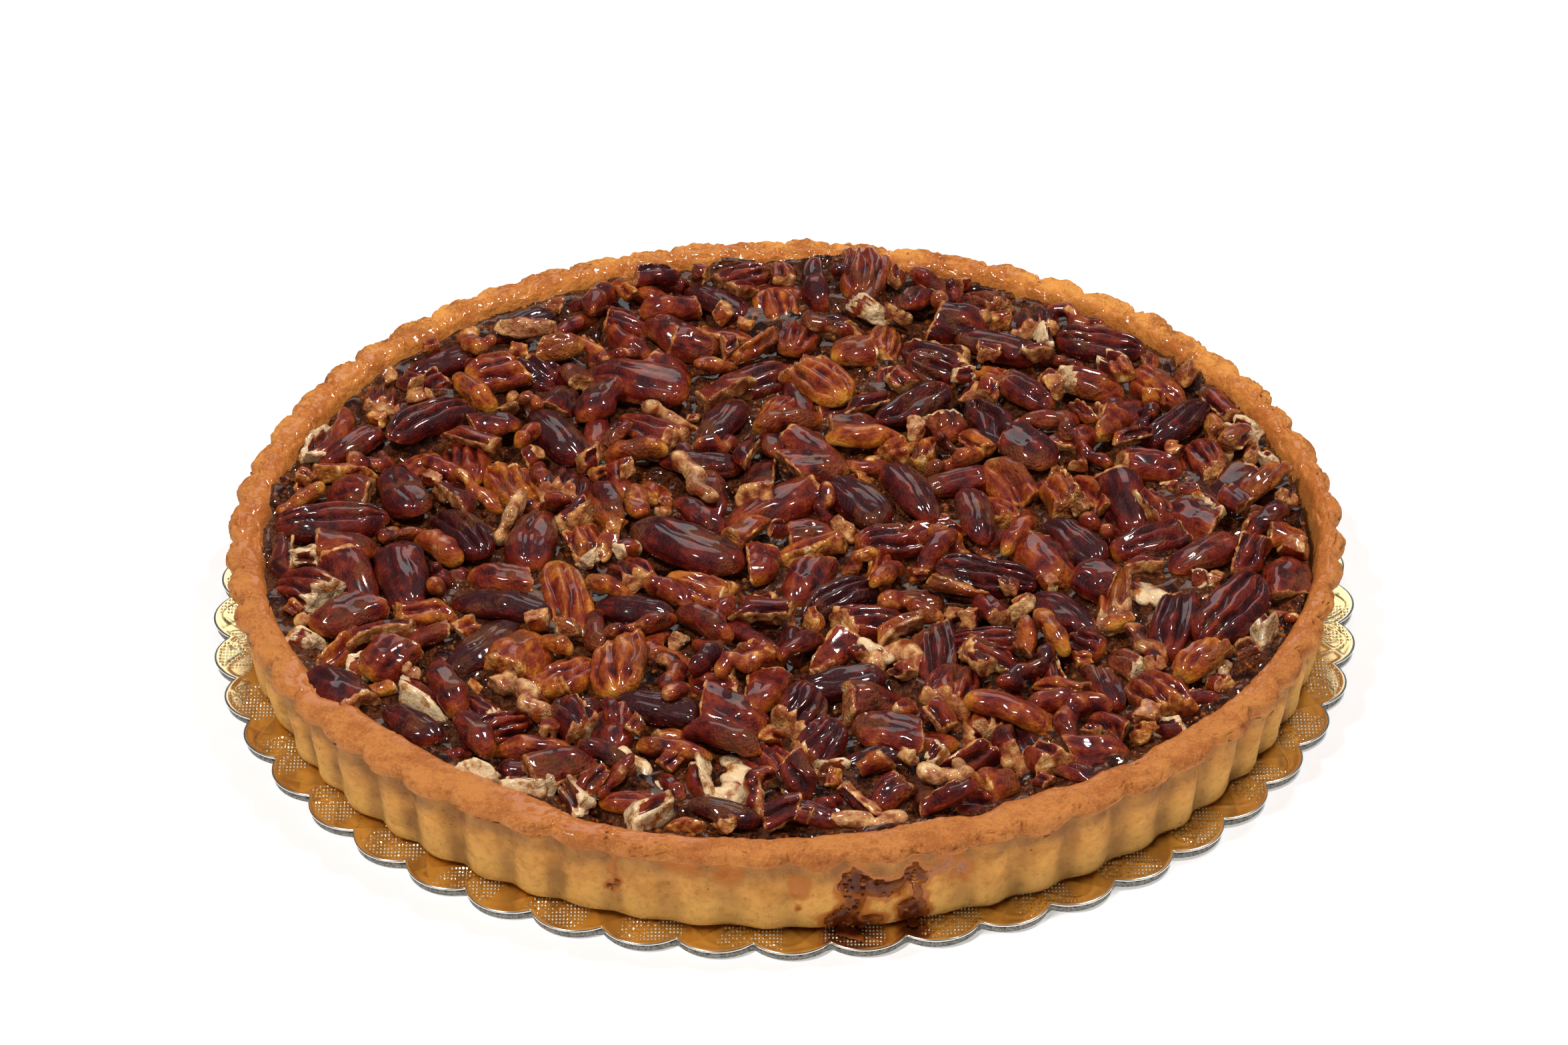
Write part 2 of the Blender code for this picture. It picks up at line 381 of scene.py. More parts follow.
@dataclass(frozen=True)
class Finish:
    """One material: a Principled shader with plain values, dressed by its own method."""

    name: str = "finish"
    roughness: float = 0.5
    metallic: float = 0.0
    coat: float = 0.0
    coat_roughness: float = 0.1
    specular: float = 0.5

    def material(self, shared: SharedGroups) -> bpy.types.Material:
        """Build the material."""
        made = bpy.data.materials.new(self.name)
        made.use_nodes = True
        shader = made.node_tree.nodes["Principled BSDF"]
        shader.inputs["Roughness"].default_value = self.roughness
        shader.inputs["Metallic"].default_value = self.metallic
        shader.inputs["Coat Weight"].default_value = self.coat
        shader.inputs["Coat Roughness"].default_value = self.coat_roughness
        shader.inputs["Specular IOR Level"].default_value = self.specular
        self.dress(Graph(made.node_tree), shader, shared)
        return made

    def dress(self, graph: Graph, shader: bpy.types.Node, shared: SharedGroups) -> None:
        """Link the colour, roughness and relief. Each finish has its own."""
        raise NotImplementedError

    @staticmethod
    def link(graph: Graph, source: bpy.types.NodeSocket, shader: bpy.types.Node, name: str) -> None:
        """Link a socket to one of the shader's inputs."""
        graph.tree.links.new(source, shader.inputs[name])


@dataclass(frozen=True)
class BakedCrust(Finish):
    """Shortcrust: toffee-brown lip, golden mottled wall, dark syrupy smears."""

    name: str = "baked_crust"
    roughness: float = 0.62
    specular: float = 0.2
    coat_roughness: float = 0.12
    lip_light: Color = (0.64, 0.235, 0.055)
    lip_deep: Color = (0.46, 0.140, 0.030)
    lip_pale: Color = (0.88, 0.36, 0.075)
    wall_light: Color = (0.88, 0.41, 0.098)
    wall_deep: Color = (0.62, 0.26, 0.055)
    # The foot colour is painted light, for the light the gold card throws back up onto the wall.
    foot: Color = (0.92, 0.52, 0.14)
    # fold_shade is painted shade, for the flute valleys and the band under the lip.
    fold_shade: Color = (0.25, 0.110, 0.045)
    syrup: Color = (0.56, 0.140, 0.013)
    glazed: Color = (0.56, 0.180, 0.030)
    spilt: Color = (0.32, 0.080, 0.010)
    speck: Color = (0.16, 0.045, 0.012)

    def dress(self, graph: Graph, shader: bpy.types.Node, shared: SharedGroups) -> None:
        """Mix the baking colours by place, with painted shade in the flute valleys and under the lip and painted light
        at the wall's foot, then lay syrup and stains over them.
        """
        place = graph.place()
        cloud = graph.group(shared.mottle, {"Vector": place, "Large": 8 * MM, "Fine": 1.6 * MM})
        patches, fine = cloud.outputs["Large"], cloud.outputs["Fine"]
        wall = graph.ramp(patches, ((0.33, self.wall_deep), (0.62, self.wall_light)))
        sand = graph.noise(place, 0.7 * MM, 5.0, 0.65)
        crumb = graph.noise(place, 2.0 * MM, 4.0, 0.6)
        sandy = graph.math("ADD", graph.math("MULTIPLY", patches, 0.6), graph.math("MULTIPLY", sand, 0.5))
        lip_light = graph.mix(graph.value("pale"), self.lip_light, self.lip_pale)
        lip = graph.mix(graph.step(sandy, 0.44, 0.62), self.lip_deep, lip_light)
        # Painted light: the wall is lightened towards its foot for the light thrown up from the card.
        wall = graph.mix(graph.math("MULTIPLY", graph.value("foot"), 0.7), wall, self.foot)
        toned = graph.mix(graph.value("lip"), wall, lip)
        # Painted shade: darker in the flute valleys and in a band under the lip.
        toned = graph.mix(graph.math("MULTIPLY", graph.value("fold"), 0.72), toned, self.fold_shade)
        grain = graph.ramp(fine, ((0.3, (0.66, 0.58, 0.5)), (0.5, (0.97, 0.97, 0.97)), (0.72, (1.0, 1.0, 1.0))))
        toned = graph.mix(0.65, toned, grain, "MULTIPLY")
        specks = graph.step(graph.noise(place, 1.1 * MM, 2.0), 0.7, 0.76)
        toned = graph.mix(graph.math("MULTIPLY", specks, 0.7), toned, self.speck)
        syrup = graph.math("MULTIPLY", graph.value("syrup"), 0.8)
        toned = graph.mix(syrup, toned, self.syrup)
        stain = graph.value("stain")
        toned = graph.mix(graph.step(stain, 0.0, 0.22), toned, self.glazed)
        toned = graph.mix(graph.step(stain, 0.22, 0.6), toned, self.spilt)
        self.link(graph, toned, shader, "Base Color")
        gloss = graph.math("MAXIMUM", graph.value("syrup"), graph.step(stain, 0.1, 0.5))
        self.link(graph, graph.math("MULTIPLY", gloss, 0.95), shader, "Coat Weight")
        height = graph.math("ADD", graph.math("MULTIPLY", sand, 0.8), crumb)
        self.link(graph, graph.bump(height, 0.55 * MM, 1.0), shader, "Normal")


@dataclass(frozen=True)
class SetCaramel(Finish):
    """The filling's surface: brown froth with amber windows and open pores."""

    name: str = "set_caramel"
    roughness: float = 0.3
    specular: float = 0.1
    coat: float = 0.7
    coat_roughness: float = 0.07
    froth: Color = (0.15, 0.042, 0.012)
    brown: Color = (0.040, 0.007, 0.002)
    amber: Color = (0.34, 0.08, 0.005)
    # The near-black colour below is painted shade in the open pores and the darkest patches.
    pore_shade: Color = (0.004, 0.001, 0.001)

    def dress(self, graph: Graph, shader: bpy.types.Node, shared: SharedGroups) -> None:
        """Mottle the caramel from dark to froth, with amber in places, and open its bubbles, coloured near black as
        painted shade in the pores and the darkest patches.
        """
        place = graph.place()
        cloud = graph.group(shared.mottle, {"Vector": place, "Large": 6 * MM, "Fine": 1.1 * MM})
        bubbles = graph.group(shared.froth, {"Vector": place, "Size": 1.2 * MM})
        stops = ((0.34, self.pore_shade), (0.43, self.brown), (0.50, self.froth), (0.62, self.brown), (0.72, self.amber))
        toned = graph.ramp(cloud.outputs["Large"], stops)
        toned = graph.mix(graph.step(cloud.outputs["Fine"], 0.45, 0.7), toned, self.brown)
        # Painted shade: the open pores are coloured near black.
        toned = graph.mix(bubbles.outputs["Pores"], toned, self.pore_shade)
        self.link(graph, toned, shader, "Base Color")
        self.link(graph, graph.bump(bubbles.outputs["Height"], 0.8 * MM, 1.0), shader, "Normal")


@dataclass(frozen=True)
class PecanSkin(Finish):
    """Glazed pecan: mahogany skin going to amber where it thins, honey or cream where it is gone."""

    name: str = "pecan"
    roughness: float = 0.42
    specular: float = 0.12
    coat: float = 0.75
    coat_roughness: float = 0.085
    black: Color = (0.034, 0.003, 0.004)
    dark: Color = (0.082, 0.005, 0.004)
    red: Color = (0.170, 0.014, 0.005)
    brown: Color = (0.28, 0.045, 0.008)
    amber: Color = (0.46, 0.12, 0.010)
    honey: Color = (0.64, 0.27, 0.038)
    cream: Color = (0.86, 0.62, 0.35)
    tan: Color = (0.50, 0.23, 0.07)
    froth: Color = (0.21, 0.062, 0.019)

    def dress(self, graph: Graph, shader: bpy.types.Node, shared: SharedGroups) -> None:
        """Grade the skin by each nut's own tone, vein it lengthwise and peel it in places."""
        nut = graph.vector("nut_place")
        stretched = graph.add("Mapping", {"Vector": nut, "Scale": (0.3, 1.0, 1.0)}).outputs["Vector"]
        veins = graph.noise(stretched, 1.5 * MM, 5.0, 0.62)
        cloud = graph.group(shared.mottle, {"Vector": nut, "Large": 5 * MM, "Fine": 1.0 * MM})
        large, fine = cloud.outputs["Large"], cloud.outputs["Fine"]
        tone = graph.math("ADD", graph.value("tone"), graph.math("MULTIPLY", veins, 0.35))
        tone = graph.math("ADD", tone, graph.math("MULTIPLY", large, 1.1))
        tone = graph.math("SUBTRACT", graph.math("ADD", tone, graph.math("MULTIPLY", fine, 0.45)), 1.17)
        stops = (
            (0.0, self.black), (0.16, self.dark), (0.38, self.red),
            (0.58, self.brown), (0.78, self.amber), (1.0, self.honey),
        )
        skin = graph.ramp(tone, stops)
        bare = graph.math("ADD", graph.value("flesh"), graph.math("MULTIPLY", large, 0.8))
        bare = graph.math("ADD", bare, graph.value("peel"))
        patchy = graph.noise(nut, 3.2 * MM, 4.0, 0.6)
        cream = graph.ramp(patchy, ((0.32, self.amber), (0.40, self.tan), (0.50, self.cream)))
        syrupy = graph.ramp(patchy, ((0.34, self.red), (0.44, self.brown), (0.52, self.amber), (0.6, self.honey), (0.7, self.cream)))
        meat = graph.mix(graph.value("wet"), cream, syrupy)
        toned = graph.mix(graph.step(bare, 0.80, 1.0), skin, self.brown)
        toned = graph.mix(graph.step(bare, 0.93, 1.1), toned, meat)
        place = graph.place()
        film = graph.step(graph.noise(place, 11 * MM, 4.0, 0.6), 0.52, 0.64)
        toned = graph.mix(graph.math("MULTIPLY", film, 0.5), toned, self.froth)
        self.link(graph, toned, shader, "Base Color")
        bubbles = graph.group(shared.froth, {"Vector": place, "Size": 0.85 * MM})
        beaded = graph.math("MULTIPLY", bubbles.outputs["Height"], graph.math("ADD", graph.math("MULTIPLY", film, 1.2), 0.45))
        height = graph.math("ADD", graph.math("ADD", veins, graph.noise(nut, 0.6 * MM, 3.0)), beaded)
        self.link(graph, graph.bump(height, 0.3 * MM, 0.85), shader, "Normal")


@dataclass(frozen=True)
class SyrupGlaze(Finish):
    """Thick runs of clear brown syrup."""

    name: str = "syrup"
    roughness: float = 0.3
    specular: float = 0.05
    coat: float = 0.4
    coat_roughness: float = 0.06
    thin: Color = (0.52, 0.19, 0.035)
    amber: Color = (0.30, 0.080, 0.010)
    thick: Color = (0.10, 0.017, 0.003)

    def dress(self, graph: Graph, shader: bpy.types.Node, shared: SharedGroups) -> None:
        """Darken the syrup where it is thick, and raise its bubbles."""
        place = graph.place()
        bubbles = graph.group(shared.froth, {"Vector": place, "Size": 1.1 * MM})
        cloud = graph.group(shared.mottle, {"Vector": place, "Large": 4 * MM, "Fine": 1.0 * MM})
        depth = graph.math("ADD", graph.value("depth"), graph.math("MULTIPLY", cloud.outputs["Large"], 0.9))
        depth = graph.math("SUBTRACT", depth, 0.45)
        toned = graph.ramp(depth, ((0.2, self.thin), (0.5, self.amber), (0.92, self.thick)))
        self.link(graph, toned, shader, "Base Color")
        lift = graph.math("MULTIPLY", bubbles.outputs["Height"], graph.value("depth"))
        self.link(graph, graph.bump(lift, 0.4 * MM, 0.6), shader, "Normal")


@dataclass(frozen=True)
class GoldFoil(Finish):
    """Embossed gold foil with a bright rolled edge."""

    name: str = "gold_foil"
    roughness: float = 0.22
    metallic: float = 1.0
    gold: Color = (0.96, 0.74, 0.36)
    worn: Color = (0.88, 0.85, 0.78)
    rows: float = 230.0
    dashes: float = 360.0
    # glint is a painted highlight colour for the embossed dashes.
    glint: Color = (1.0, 0.93, 0.70)

    def dress(self, graph: Graph, shader: bpy.types.Node, shared: SharedGroups) -> None:
        """Vary the foil's colour a little, and where the emboss is hatched give its fine dashes a pale, less metallic
        colour as painted highlights.
        """
        place = graph.place()
        cloud = graph.group(shared.mottle, {"Vector": place, "Large": 8 * MM, "Fine": 1.2 * MM})
        dull = graph.mix(graph.math("MULTIPLY", cloud.outputs["Large"], 0.2), self.gold, (0.7, 0.5, 0.22))
        toned = graph.mix(graph.value("edge"), dull, self.worn)
        rows, dashes = (
            graph.add("TexWave", {"Vector": place, "Scale": scale, "Distortion": 0.0}, bands_direction=way)
            for scale, way in ((self.rows, "Y"), (self.dashes, "X"))
        )
        woven = graph.math("MULTIPLY", rows.outputs["Fac"], dashes.outputs["Fac"])
        fine = graph.math("MULTIPLY", graph.step(woven, 0.2, 0.6), graph.value("hatch"))
        # Painted highlight: the dashes are coloured pale and made less metallic, standing in for the light they catch.
        self.link(graph, graph.mix(fine, toned, self.glint), shader, "Base Color")
        self.link(graph, graph.math("SUBTRACT", 1.0, graph.math("MULTIPLY", fine, 0.7)), shader, "Metallic")
        height = graph.math("ADD", graph.math("MULTIPLY", fine, 2.4), graph.math("MULTIPLY", cloud.outputs["Large"], 0.3))
        self.link(graph, graph.bump(height, 0.16 * MM, 0.8), shader, "Normal")


@dataclass(frozen=True)
class GreyBoard(Finish):
    """Recycled board, grey and fibrous; its own light grey is darkened as painted shade, since its edge lies in shade
    under the foil.
    """

    name: str = "grey_board"
    roughness: float = 0.9
    # The board's own grey, darkened as painted shade for the edge that lies in shade under the foil.
    light: Color = (0.40, 0.38, 0.34)
    deep: Color = (0.16, 0.15, 0.13)

    def dress(self, graph: Graph, shader: bpy.types.Node, shared: SharedGroups) -> None:
        """Speckle the board with its fibres."""
        place = graph.place()
        cloud = graph.group(shared.mottle, {"Vector": place, "Large": 5 * MM, "Fine": 0.6 * MM})
        toned = graph.ramp(cloud.outputs["Fine"], ((0.38, self.deep), (0.6, self.light)))
        self.link(graph, toned, shader, "Base Color")
        self.link(graph, graph.bump(cloud.outputs["Fine"], 0.2 * MM, 0.8), shader, "Normal")


@dataclass(frozen=True)
class FlutedPaper(Finish):
    """The corrugated middle of the board, near black: painted shade in the gap between its two faces."""

    name: str = "fluted_paper_in_shade"
    roughness: float = 0.9
    # Both colours are near black: painted shade in the gap between the card's faces.
    light: Color = (0.10, 0.085, 0.07)
    deep: Color = (0.02, 0.017, 0.014)

    def dress(self, graph: Graph, shader: bpy.types.Node, shared: SharedGroups) -> None:
        """Mottle the paper near black with fibre noise, as painted shade in the gap."""
        fibres = graph.noise(graph.place(), 1.5 * MM)
        self.link(graph, graph.ramp(fibres, ((0.4, self.deep), (0.6, self.light))), shader, "Base Color")


# ================================================================ cake card


@dataclass
class CakeCard:
    """The scalloped board: foil face with a rolled edge, corrugated middle, grey underside."""

    lobes: int = 48
    tip_radius: float = 143.8 * MM
    cusp_radius: float = 139.6 * MM
    first_cusp: float = math.radians(4.2)
    steps: int = 32
    face_thickness: float = 0.62 * MM
    board_thickness: float = 1.25 * MM
    emboss_height: float = 0.2 * MM
    emboss_from: float = 127 * MM
    rings: int = 26

    def __post_init__(self) -> None:
        """Take the card's height from the frame."""
        low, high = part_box("cake_card")
        self.bottom, self.top = low.z, high.z

    def edge_radius(self, angles: np.ndarray) -> np.ndarray:
        """The scalloped edge's radius at each bearing: one outward arc for each lobe."""
        half = math.pi / self.lobes
        chord = self.cusp_radius * math.sin(half)
        rise = self.tip_radius - self.cusp_radius * math.cos(half)
        arc = (chord**2 + rise**2) / (2 * rise)
        centre = self.tip_radius - arc
        turned = (angles - self.first_cusp) % (2 * half) - half
        return centre * np.cos(turned) + np.sqrt(arc**2 - (centre * np.sin(turned)) ** 2)

    def disc(self, name: str, low: float, high: float, inset: float, steps: int) -> bpy.types.Object:
        """A closed scalloped disc between two heights, a little inside the edge."""
        count = self.lobes * steps
        item = added(
            bpy.ops.mesh.primitive_circle_add, name, vertices=count, radius=1.0, location=(0, 0, low), fill_type="NGON"
        )
        rows = places(item)
        angles = np.arctan2(rows[:, 1], rows[:, 0])
        radius = self.edge_radius(angles) - inset
        rows[:, 0], rows[:, 1] = radius * np.cos(angles), radius * np.sin(angles)
        set_places(item, rows)
        with editing(item):
            bpy.ops.mesh.select_all(action="SELECT")
            bpy.ops.mesh.extrude_region_move(TRANSFORM_OT_translate={"value": (0, 0, high - low)})
            bpy.ops.mesh.select_all(action="SELECT")
            bpy.ops.mesh.normals_make_consistent(inside=False)
        return item

    def emboss(self, rows: np.ndarray) -> tuple[np.ndarray, np.ndarray]:
        """The pressed ornament: rosettes, beads and wavy bands round the card.

        Args:
            rows: Points on the foil.

        Returns:
            The height of the relief, 0 to 1, and the share of fine hatching.
        """
        angles = np.arctan2(rows[:, 1], rows[:, 0])
        radius = np.hypot(rows[:, 0], rows[:, 1])
        pitch = 2 * math.pi / 36
        along = ((angles / pitch) % 1.0 - 0.5) * pitch * radius
        middle = 136.5 * MM
        away = np.hypot(along, radius - middle)
        swirl = np.arctan2(radius - middle, along)
        rosette = smooth_step(-0.2, 0.5, np.cos(away / (0.85 * MM) * math.pi + swirl))
        rosette *= smooth_step(5.0 * MM, 4.4 * MM, away)
        wave = middle + 4.6 * MM * np.cos(angles * 36)
        band = smooth_step(0.75 * MM, 0.3 * MM, np.abs(radius - wave))
        second = middle - 4.6 * MM * np.cos(angles * 36 + 0.9)
        band = np.maximum(band, smooth_step(0.65 * MM, 0.3 * MM, np.abs(radius - second)))
        bead_turn = ((angles * 72 / math.pi) % 1.0 - 0.5) * math.pi / 72 * radius
        bead = smooth_step(1.0 * MM, 0.6 * MM, np.hypot(bead_turn, radius - 130.5 * MM))
        relief = np.maximum(np.maximum(rosette, band), bead)
        hatch = smooth_step(0.4, 0.1, relief) * smooth_step(-0.6, 0.0, np.cos(angles * 36 + 2.2))
        return relief, hatch

    def foil(self) -> bpy.types.Object:
        """The foil face: rolled edge outside, embossed band, flat middle under the pie."""
        count = self.lobes * self.steps
        item = added(
            bpy.ops.mesh.primitive_circle_add, "card_foil", vertices=count, radius=1.0,
            location=(0, 0, self.top - self.face_thickness), fill_type="NGON",
        )
        roll = self.face_thickness / 2
        levels = [(roll * (1 - math.cos(turn)), -roll * math.sin(turn)) for turn in np.linspace(0.3, math.pi, 6)]
        span = (self.tip_radius - self.emboss_from) / self.rings
        levels += [(2 * roll, (ring + 1) * span) for ring in range(self.rings)]
        with editing(item):
            bpy.ops.mesh.select_all(action="SELECT")
            bpy.ops.mesh.delete(type="ONLY_FACE")
            bpy.ops.mesh.select_all(action="SELECT")
            bpy.ops.mesh.edge_face_add()
            for _ in levels:
                bpy.ops.mesh.extrude_region_move()
            bpy.ops.mesh.select_all(action="SELECT")
            bpy.ops.mesh.normals_make_consistent(inside=False)
        rows = places(item)
        angles = np.arctan2(rows[:, 1], rows[:, 0])
        ring = np.arange(len(rows)) // count
        inward = np.array([0.35 * MM] + [level[1] for level in levels])[ring]
        share = np.clip(inward / (self.tip_radius - self.emboss_from), 0.0, 1.0)
        edge = self.edge_radius(angles) - 0.4 * MM
        round_edge = self.tip_radius - 0.4 * MM - inward
        blend = smooth_step(0.0, 0.45, share)
        radius = (edge - inward) * (1 - blend) + np.minimum(round_edge, edge - inward) * blend
        heights = self.top - self.face_thickness + np.array([0.0] + [level[0] for level in levels])[ring]
        rows[:, 0], rows[:, 1], rows[:, 2] = radius * np.cos(angles), radius * np.sin(angles), heights
        relief, hatch = self.emboss(rows)
        flat = smooth_step(0.8 * MM, 1.8 * MM, inward)
        rows[:, 2] -= flat * self.emboss_height * (1 - relief)
        set_places(item, rows)
        set_values(item, "edge", 1 - smooth_step(0.1 * MM, 0.7 * MM, inward))
        set_values(item, "hatch", hatch * flat)
        return item

    def build(self, shared: SharedGroups) -> None:
        """Make the card's three layers."""
        finished(self.foil(), "card", GoldFoil().material(shared), "cake_card")
        # The middle layer is coloured near black as painted shade in the gap between the faces.
        middle = self.disc(
            "card_corrugation", self.bottom + self.board_thickness - 0.1 * MM,
            self.top - self.face_thickness + 0.1 * MM, 1.3 * MM, 12,
        )
        rows = places(middle)
        angles = np.arctan2(rows[:, 1], rows[:, 0])
        flutes = 1 + 0.0045 * np.cos(angles * 288) * (np.hypot(rows[:, 0], rows[:, 1]) > 0.1)
        rows[:, :2] *= flutes[:, None]
        set_places(middle, rows)
        finished(middle, "card", FlutedPaper().material(shared))
        board = self.disc("card_board", self.bottom, self.bottom + self.board_thickness, 0.9 * MM, 12)
        finished(board, "card", GreyBoard().material(shared))


# ================================================================ crust


class Smear(NamedTuple):
    """Syrup that ran down the outside: its middle along the wall and up it, its half sizes, and its depth."""

    along: float
    up: float
    half_width: float
    half_height: float
    depth: float


@dataclass
class Crust:
    """The fluted shortcrust shell."""

    radius: float = 140 * MM
    height: float = 25.2 * MM
    flutes: int = 60
    first_flute: float = math.radians(9.2)
    depth: float = 3.6 * MM
    fullness: float = 0.5
    steps: int = 24
    crowding: float = 0.55
    lip_steps: float = 0.5 * MM
    wall_steps: float = 0.95 * MM

    # height above the base, how far inside the crests, share of the flutes' depth
    outline: tuple = (
        (0.0, 7.0, 0.42), (0.5, 6.2, 0.5), (1.8, 5.7, 0.6), (6.0, 5.0, 0.74), (12.0, 3.9, 0.86),
        (17.0, 3.2, 0.92), (19.8, 2.9, 0.95), (20.9, 1.5, 1.0), (22.1, 0.3, 1.0), (23.6, 0.0, 1.0),
        (24.6, 0.5, 0.95), (25.15, 1.6, 0.8), (25.2, 3.2, 0.5), (25.1, 5.0, 0.25), (24.7, 6.6, 0.1),
        (23.9, 7.8, 0.03), (22.6, 8.6, 0.0), (20.5, 9.3, 0.0), (17.5, 10.0, 0.0), (4.0, 12.0, 0.0),
    )

    # syrup that boiled over at the front, in millimetres from the front of the tart and above its base
    smears: tuple[Smear, ...] = (
        Smear(17.3, 14.2, 3.8, 3.6, 0.95), Smear(16.6, 9.0, 3.4, 4.6, 0.62), Smear(14.8, 2.6, 5.4, 3.4, 1.0),
        Smear(22.5, 12.8, 4.2, 2.6, 0.8), Smear(26.8, 12.6, 3.4, 2.2, 0.66), Smear(31.2, 14.4, 3.6, 3.2, 0.88),
        Smear(32.6, 9.0, 2.3, 4.6, 0.6), Smear(30.8, 3.6, 3.8, 3.6, 0.98), Smear(21.0, 2.0, 2.8, 2.6, 0.5),
        Smear(37.0, 16.8, 5.0, 0.9, 0.4), Smear(44.2, 13.4, 1.8, 3.8, 0.42), Smear(3.5, 13.0, 2.4, 3.2, 0.26),
        Smear(2.6, 6.0, 1.1, 0.8, 0.55), Smear(-43.0, 9.5, 1.3, 2.0, 0.55), Smear(-43.5, 15.5, 0.8, 6.0, 0.3),
        Smear(-14.0, 16.5, 3.4, 4.0, 0.2), Smear(-26.0, 18.5, 5.0, 2.5, 0.18),
    )

    # how much wider the rim is than its outline says: bearing in degrees, millimetres
    broad: tuple[tuple[float, float], ...] = (
        (-180, 1.0), (-170, 1.8), (-158, 1.6), (-149, 2.4), (-143, 4.9), (-137, 5.7), (-132, 5.8), (-127, 5.5),
        (-122, 5.0), (-116.5, 4.6), (-112, 1.4), (-105, 0.8), (-97, 1.4), (-90, 2.5), (-81, 4.0), (-73.5, 5.2),
        (-69.7, 3.6), (-66, 5.4), (-60.9, 5.4), (-57.3, 3.6), (-53.8, 4.3), (-49.6, 3.0), (-46, 3.8), (-42.2, 2.8),
        (-36.7, 1.8), (-31, 1.4), (-24.7, 0.4), (-10, -1.4), (0, -1.9), (14, -1.6), (26, 0.0), (90, 0.4), (180, 1.0),
    )

    # bearings in degrees where syrup has washed over the lip, and how wide each is
    washes: tuple[tuple[float, float], ...] = (
        (-110, 11), (0, 26), (20, 10), (152, 13), (178, 9), (98, 8), (68, 6), (118, 7), (-150, 5),
    )

    def __post_init__(self) -> None:
        """Take the shell's place from the frame."""
        low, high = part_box("crust")
        self.centre = (low + high) / 2
        self.base = low.z
        rng = random.Random(60)
        self.pushes = np.array([rng.uniform(-0.9 * MM, 0) for _ in range(self.flutes)])

    def profile(self) -> np.ndarray:
        """Points along a smooth curve through the outline, close together on the lip."""
        keys = np.array(self.outline) * (MM, MM, 1.0)
        made = []
        for index in range(len(keys) - 1):
            before, here = keys[max(index - 1, 0)], keys[index]
            there, after = keys[index + 1], keys[min(index + 2, len(keys) - 1)]
            step = self.wall_steps if here[0] < 18 * MM and there[1] < 9 * MM else self.lip_steps
            last = index >= len(keys) - 3
            length = np.hypot(*(there - here)[:2])
            count = 3 if last else max(1, round(length / step))
            for share in np.arange(count) / count:
                made.append(self.between(before, here, there, after, share))
        made.append(keys[-1])
        return np.array(made)

    @staticmethod
    def between(before: np.ndarray, here: np.ndarray, there: np.ndarray, after: np.ndarray, share: float):
        """A point on the Catmull-Rom curve from here to there."""
        return 0.5 * (
            2 * here
            + (there - before) * share
            + (2 * before - 5 * here + 4 * there - after) * share**2
            + (3 * here - before - 3 * there + after) * share**3
        )

    def breadth(self, angles: np.ndarray) -> np.ndarray:
        """How much wider than its outline the rim is at each bearing."""
        bearings, extra = np.array(self.broad).T
        return np.interp(np.degrees(angles), bearings, extra) * MM

    def flute(self, angles: np.ndarray, sharp: np.ndarray) -> np.ndarray:
        """1 on a crest, 0 between two flutes, where the valley is a notch if sharp is 1 and round if it is 0."""
        wave = np.abs(np.cos(self.flutes * (angles - self.first_flute) / 2))
        return wave**1.45 * (1 - sharp) + wave**self.fullness * sharp

    @staticmethod
    def calm(angles: np.ndarray) -> np.ndarray:
        """How much of the flutes' depth is left: least at the front, where the paste was pressed smooth."""
        turn = (np.degrees(angles) + 86) / 24
        return 1 - 0.62 * np.exp(-(turn**2))

    def hand_made(self, angles: np.ndarray) -> np.ndarray:
        """The slow unevenness of a shell pressed in by hand, from -1 to 1."""
        return 0.5 * np.sin(3 * angles + 0.7) + 0.3 * np.sin(7 * angles + 2.1) + 0.2 * np.sin(17 * angles)

    def shell(self) -> bpy.types.Object:
        """The shell drawn up ring by ring from its foot, over the lip and down to the floor."""
        profile = self.profile()
        count = self.flutes * self.steps
        item = added(
            bpy.ops.mesh.primitive_circle_add, "crust_shell", vertices=count, radius=self.radius, fill_type="NGON"
        )
        with editing(item):
            bpy.ops.mesh.select_all(action="SELECT")
            for _ in profile[1:]:
                bpy.ops.mesh.extrude_region_move()
            bpy.ops.mesh.select_all(action="SELECT")
            bpy.ops.mesh.normals_make_consistent(inside=False)
        rows = places(item)
        angles = np.arctan2(rows[:, 1], rows[:, 0])
        phase = self.flutes * (angles - self.first_flute)
        angles += self.crowding * np.sin(phase) / self.flutes
        ring = np.arange(len(rows)) // count
        self.shape(item, angles, profile[ring])
        return item

    def run_down(self, angles: np.ndarray, height: np.ndarray) -> np.ndarray:
        """How deep the spilt syrup is on the outside at each point, 0 to 1."""
        along = (angles + math.pi / 2) * self.radius / MM
        up = height / MM
        flat = np.stack([along, up, np.zeros_like(up)], 1)
        along = along + 2.0 * rumble(flat, 5.0, 41) + 1.1 * rumble(flat, 1.8, 43)
        up = up + 2.0 * rumble(flat, 5.0, 42) + 1.1 * rumble(flat, 1.8, 44)
        deep = np.zeros_like(up)
        for smear in self.smears:
            away = np.hypot((along - smear.along) / smear.half_width, (up - smear.up) / smear.half_height)
            deep = np.maximum(deep, smear.depth * smooth_step(1.75, 0.45, away))
        return deep

    def washed(self, angles: np.ndarray) -> np.ndarray:
        """How far syrup has come up over the lip at each bearing, 0 to 1."""
        wet = np.zeros_like(angles)
        for bearing, width in self.washes:
            turn = (np.degrees(angles) - bearing + 180) % 360 - 180
            wet = np.maximum(wet, np.exp(-((turn / width) ** 2)))
        return wet

